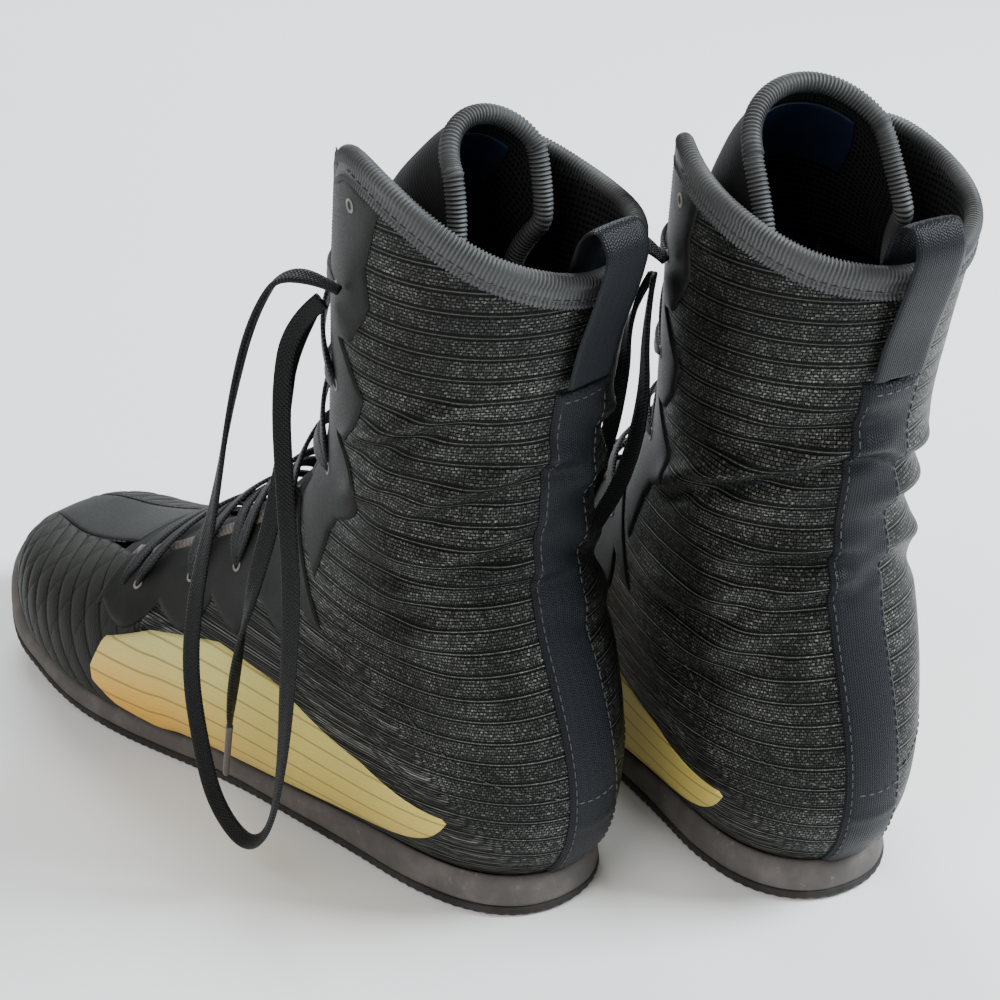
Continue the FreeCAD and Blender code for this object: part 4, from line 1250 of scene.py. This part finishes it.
def eyelets(boot):
    verts, faces = [], []
    for side in (-1, 1):
        top = float(collar_station(boot, side * FREE_EYELET_A, FREE_EYELET_DROP))
        for s, a in EYELETS + [(top, FREE_EYELET_A)]:
            centre, out = on_skin(boot, s, side * a, SHELL + GAP + FILM)
            up = unit(form(s + 0.01, side * a) - form(s - 0.01, side * a))
            over = unit(np.cross(out, up))
            b = sum(len(v) for v in verts)
            ring = []
            for r, h in ((1.25, -0.1), (1.35, 0.22), (1.75, 0.32), (2.15, 0.2), (2.3, -0.1)):
                for t in np.arange(24) * math.pi / 12:
                    ring.append(centre + (up * math.cos(t) + over * math.sin(t)) * r + out * h)
            verts.append(np.array(ring))
            for q in range(5):
                n = (q + 1) % 5
                for j in range(24):
                    m = (j + 1) % 24
                    faces.append((b + q * 24 + j, b + n * 24 + j, b + n * 24 + m, b + q * 24 + m))
    return make(boot, "eyelets", np.concatenate(verts), faces, [M["ring"]])


ROUTES = {
    "left_lace_loop": [
        (-42.2, 58.0, 214.0), (-46.0, 76.0, 219.0), (-51.0, 88.0, 200.0),
        (-57.0, 94.0, 170.0), (-62.0, 98.0, 138.0), (-66.0, 106.0, 106.0),
        (-69.0, 110.0, 74.0), (-71.0, 104.0, 45.0), (-72.0, 97.0, 27.0),
        (-72.0, 82.0, 18.0), (-72.0, 69.0, 31.0), (-71.0, 62.0, 60.0),
        (-69.0, 59.0, 92.0), (-66.0, 58.0, 124.0), (-61.0, 65.0, 154.0),
        (-55.0, 72.0, 181.0), (-48.0, 74.0, 200.0), (-43.0, 65.0, 209.0)],
    "left_lace_tail": [
        (-37.0, 73.0, 203.5), (-45.0, 78.0, 190.0), (-50.0, 75.0, 168.0),
        (-54.0, 79.0, 138.0), (-58.0, 88.0, 108.0), (-60.0, 98.0, 74.0),
        (-60.5, 102.0, 50.0)],
    "right_lace_loop": [
        (42.2, 58.0, 214.0), (43.5, 76.0, 219.0), (43.5, 88.0, 202.0),
        (44.0, 88.0, 172.0), (44.0, 96.0, 146.0), (45.0, 112.0, 122.0),
        (47.5, 132.0, 100.0), (50.5, 150.0, 78.0), (52.5, 163.0, 56.0),
        (52.5, 160.0, 39.0), (51.5, 144.0, 36.0), (49.0, 128.0, 54.0),
        (46.0, 112.0, 80.0), (44.0, 94.0, 106.0), (43.0, 76.0, 134.0),
        (43.0, 66.0, 164.0), (43.5, 66.0, 190.0), (42.0, 64.0, 207.0)],
    "right_lace_tail": [
        (37.0, 73.0, 203.5), (42.0, 77.0, 190.0), (43.0, 80.0, 166.0),
        (43.0, 88.0, 138.0), (43.5, 102.0, 112.0), (45.0, 118.0, 88.0),
        (47.5, 130.0, 66.0)],
}
LACE_WIDTH = 5.6
LACE_THICK = 1.9
AGLET_LONG = 21.0


def cord_line(name, points):
    """The cord's smooth line, read from a NURBS curve through its route, in metres."""
    curve = bpy.data.curves.new(name, "CURVE")
    curve.dimensions = "3D"
    spline = curve.splines.new("NURBS")
    spline.points.add(len(points) - 1)
    for point, co in zip(spline.points, points):
        point.co = (*co, 1.0)
    spline.order_u = 3
    spline.use_endpoint_u = True
    spline.resolution_u = 14
    holder = bpy.data.objects.new(name, curve)
    bpy.context.scene.collection.objects.link(holder)
    bpy.context.view_layer.update()
    mesh = bpy.data.meshes.new_from_object(holder)
    line = np.array([v.co[:] for v in mesh.vertices])
    bpy.data.objects.remove(holder)
    bpy.data.meshes.remove(mesh)
    return line


def loose_lace(boot, word, facing):
    """A loose end as a flat braid that turns slowly as it hangs."""
    name = boot + word
    route = to_world(boot, np.array(ROUTES[name]))
    line = cord_line(name + "_line", route.tolist())
    step_run = np.linalg.norm(np.diff(line, axis=0), axis=1)
    run = np.concatenate([[0.0], np.cumsum(step_run)])
    even = np.linspace(0, run[-1], int(run[-1] * 1000 / 1.1))
    path = np.stack([np.interp(even, run, line[:, k]) for k in range(3)], 1)
    t = np.linspace(0, 1, len(path))
    tangent = unit(np.gradient(path, axis=0))
    facing = to_world(boot, np.array([facing]))[0] - to_world(boot, np.array([(0, 0, 0)]))[0]
    face = unit(facing[None] - (tangent @ facing)[:, None] * tangent)
    side = unit(np.cross(tangent, face))
    twist = 1.05 * np.sin(t * 8.0 + (1.0 if boot == "left_" else 2.0))
    out = face * np.cos(twist)[:, None] + side * np.sin(twist)[:, None]
    ends = np.minimum(step(t, 0.0, 0.04), 1.0)
    half = 0.5 * LACE_WIDTH / 1000 * (0.55 + 0.45 * ends)
    if word == "lace_tail":
        half = half * (1.0 - 0.62 * step(t, 0.96, 1.0))
    thick = LACE_THICK / 1000
    v, f, uv = lace_uv_mesh(boot, name, path, out, half, thick, M["lace"])
    uv[:, 1] *= 1000.0
    mesh = bpy.data.meshes.new(name)
    mesh.from_pydata(v.tolist(), [], f)
    mesh.polygons.foreach_set("use_smooth", [True] * len(mesh.polygons))
    loops = np.zeros(len(mesh.loops), int)
    mesh.loops.foreach_get("vertex_index", loops)
    mesh.uv_layers.new(name="weave").data.foreach_set("uv", uv[loops].ravel())
    mesh.materials.append(M["lace"])
    obj = bpy.data.objects.new(name, mesh)
    bpy.context.scene.collection.objects.link(obj)
    return obj, path, float(even[-1])


def aglet(boot, path):
    """Hard sleeve on the lace's end: slightly flattened, with a crimped mouth."""
    end, back = path[-1] * 1000, path[-4] * 1000
    along = unit(end - back)
    start = end - along * 1.5
    t = np.array([0, 0.02, 0.05, 0.09, 0.5, 0.9, 0.96, 0.99, 1.0])
    r = np.array([1.0, 1.22, 1.3, 1.2, 1.15, 1.12, 1.02, 0.7, 0.3])
    centre = start + along * (t * (AGLET_LONG + 1.0))[:, None]
    side = unit(np.cross(along, np.array([1.0, 0.2, 0.0])))
    other = np.cross(along, side)
    angles = np.arange(20) * math.pi / 10
    pts = np.stack([centre + side * (r * 1.08 * math.cos(q))[:, None]
                    + other * (r * 0.92 * math.sin(q))[:, None] for q in angles], 1)
    n, k = pts.shape[:2]
    faces = [(i * k + j, i * k + (j + 1) % k, (i + 1) * k + (j + 1) % k, (i + 1) * k + j)
             for i in range(n - 1) for j in range(k)]
    faces += [tuple(range(k))[::-1], tuple((n - 1) * k + j for j in range(k))]
    mesh = bpy.data.meshes.new(boot + "aglet")
    mesh.from_pydata((pts.reshape(-1, 3) / 1000).tolist(), [], faces)
    mesh.polygons.foreach_set("use_smooth", [True] * len(mesh.polygons))
    mesh.materials.append(M["aglet"])
    obj = bpy.data.objects.new(boot + "aglet_piece", mesh)
    bpy.context.scene.collection.objects.link(obj)
    return obj


# ---------------------------------------------------------------- the pair

def settle(obj, body, slot, *nodes):
    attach(obj, body)
    if nodes:
        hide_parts(*nodes)


def build(boot):
    body, tongue, loop = boot + "boot", boot + "tongue", boot + "loop"
    for piece, node, slot in upper(boot):
        settle(piece, body, slot, *([boot + node] if node else []))
    settle(sole_wall(boot), body, "wall_rubber", boot + "sole_wall")
    rim, plate = outsole(boot)
    settle(rim, body, "tread_rubber", boot + "outsole")
    settle(plate, body, "tread_rubber")
    settle(throat_tongue(boot), body, "tongue_fabric", boot + "tongue_lower")
    settle(sock(boot), body, "mesh_lining", boot + "sockliner")
    rim = collar_binding(boot)
    settle(rim, body, "grosgrain", boot + "collar_binding")
    settle(backstay(boot), body, "webbing", boot + "backstay")
    settle(pull_loop(boot), loop, "webbing", boot + "pull_loop")
    for piece in stitching(boot):
        settle(piece, body, "webbing")
    pad = tongue_top(boot)
    settle(pad, tongue, "tongue_fabric", boot + "tongue_upper")
    settle(tongue_edge(boot), tongue, "grosgrain", boot + "tongue_binding")
    settle(tongue_label(boot), tongue, "label_cloth", boot + "tongue_label")
    settle(lacing(boot), body, "lace", boot + "lacing")
    settle(eyelets(boot), body, "smooth_film", boot + "eyelets")
    side = -1.0 if boot == "left_" else 1.0
    lace, path, length = loose_lace(boot, "lace_loop", (side, 0.15, 0.1))
    settle(lace, body, "lace", boot + "lace_loop")
    lace, path, length = loose_lace(boot, "lace_tail", (side, 0.3, 0.0))
    settle(lace, body, "lace", boot + "lace_tail")
    tip = aglet(boot, path)
    settle(tip, body, "aglet_plastic", boot + "aglet")


for boot in ("left_", "right_"):
    build(boot)
    for node, mat in (("midsole", "foam"), ("insole_board", "board"), ("heel_counter", "board")):
        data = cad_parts[boot + node].data
        data.materials.clear()
        data.materials.append(M[mat])


# ---------------------------------------------------------------- stage

def stage():
    bpy.ops.mesh.primitive_plane_add(size=6.0, location=(0.0, 0.5, -0.0005))
    floor = bpy.context.object
    floor.name = "floor"
    white = bpy.data.materials.new("floor_white")
    white.use_nodes = True
    shader = white.node_tree.nodes["Principled BSDF"]
    shader.inputs["Base Color"].default_value = (0.9, 0.9, 0.9, 1)
    shader.inputs["Roughness"].default_value = 0.9
    floor.data.materials.append(white)
    world = bpy.data.worlds.new("studio")
    world.use_nodes = True
    world.node_tree.nodes["Background"].inputs[0].default_value = (1.0, 1.0, 1.0, 1)
    world.node_tree.nodes["Background"].inputs[1].default_value = 0.42
    bpy.context.scene.world = world
    for name, place, size, watts, tint in (
            ("key", (1.2, -1.0, 1.4), 0.9, 95.0, (0.90, 0.96, 1.0)),
            ("fill", (-1.6, -0.5, 1.5), 1.4, 26.0, (1.0, 0.97, 0.92)),
            ("rim", (0.6, 1.5, 1.4), 1.0, 34.0, (0.9, 0.96, 1.0))):
        lamp = bpy.data.lights.new(name, "AREA")
        lamp.size = size
        lamp.energy = watts
        lamp.color = tint
        obj = bpy.data.objects.new(name, lamp)
        obj.location = place
        aim = Vector((0.0, 0.0, 0.12)) - obj.location
        obj.rotation_euler = aim.to_track_quat("-Z", "Y").to_euler()
        bpy.context.scene.collection.objects.link(obj)


def camera():
    """View from behind the left boot's outer side, looking down at about 28 degrees."""
    azimuth, elevation, roll = math.radians(36.977), math.radians(28.484), math.radians(-0.53)
    ahead = Vector((math.sin(azimuth) * math.cos(elevation),
                    math.cos(azimuth) * math.cos(elevation), -math.sin(elevation)))
    flat = Vector((math.cos(azimuth), -math.sin(azimuth), 0.0))
    rise = flat.cross(ahead)
    right = flat * math.cos(roll) + rise * math.sin(roll)
    up = rise * math.cos(roll) - flat * math.sin(roll)
    data = bpy.data.cameras.new("camera")
    data.lens = 83.1
    data.sensor_width = 36.0
    data.clip_start = 0.02
    data.dof.use_dof = False
    obj = bpy.data.objects.new("camera", data)
    turn = Matrix((right, up, -ahead)).transposed()
    obj.matrix_world = Matrix.Translation((-0.41968, -0.57810, 0.47862)) @ turn.to_4x4()
    bpy.context.scene.collection.objects.link(obj)
    bpy.context.scene.camera = obj


stage()
camera()
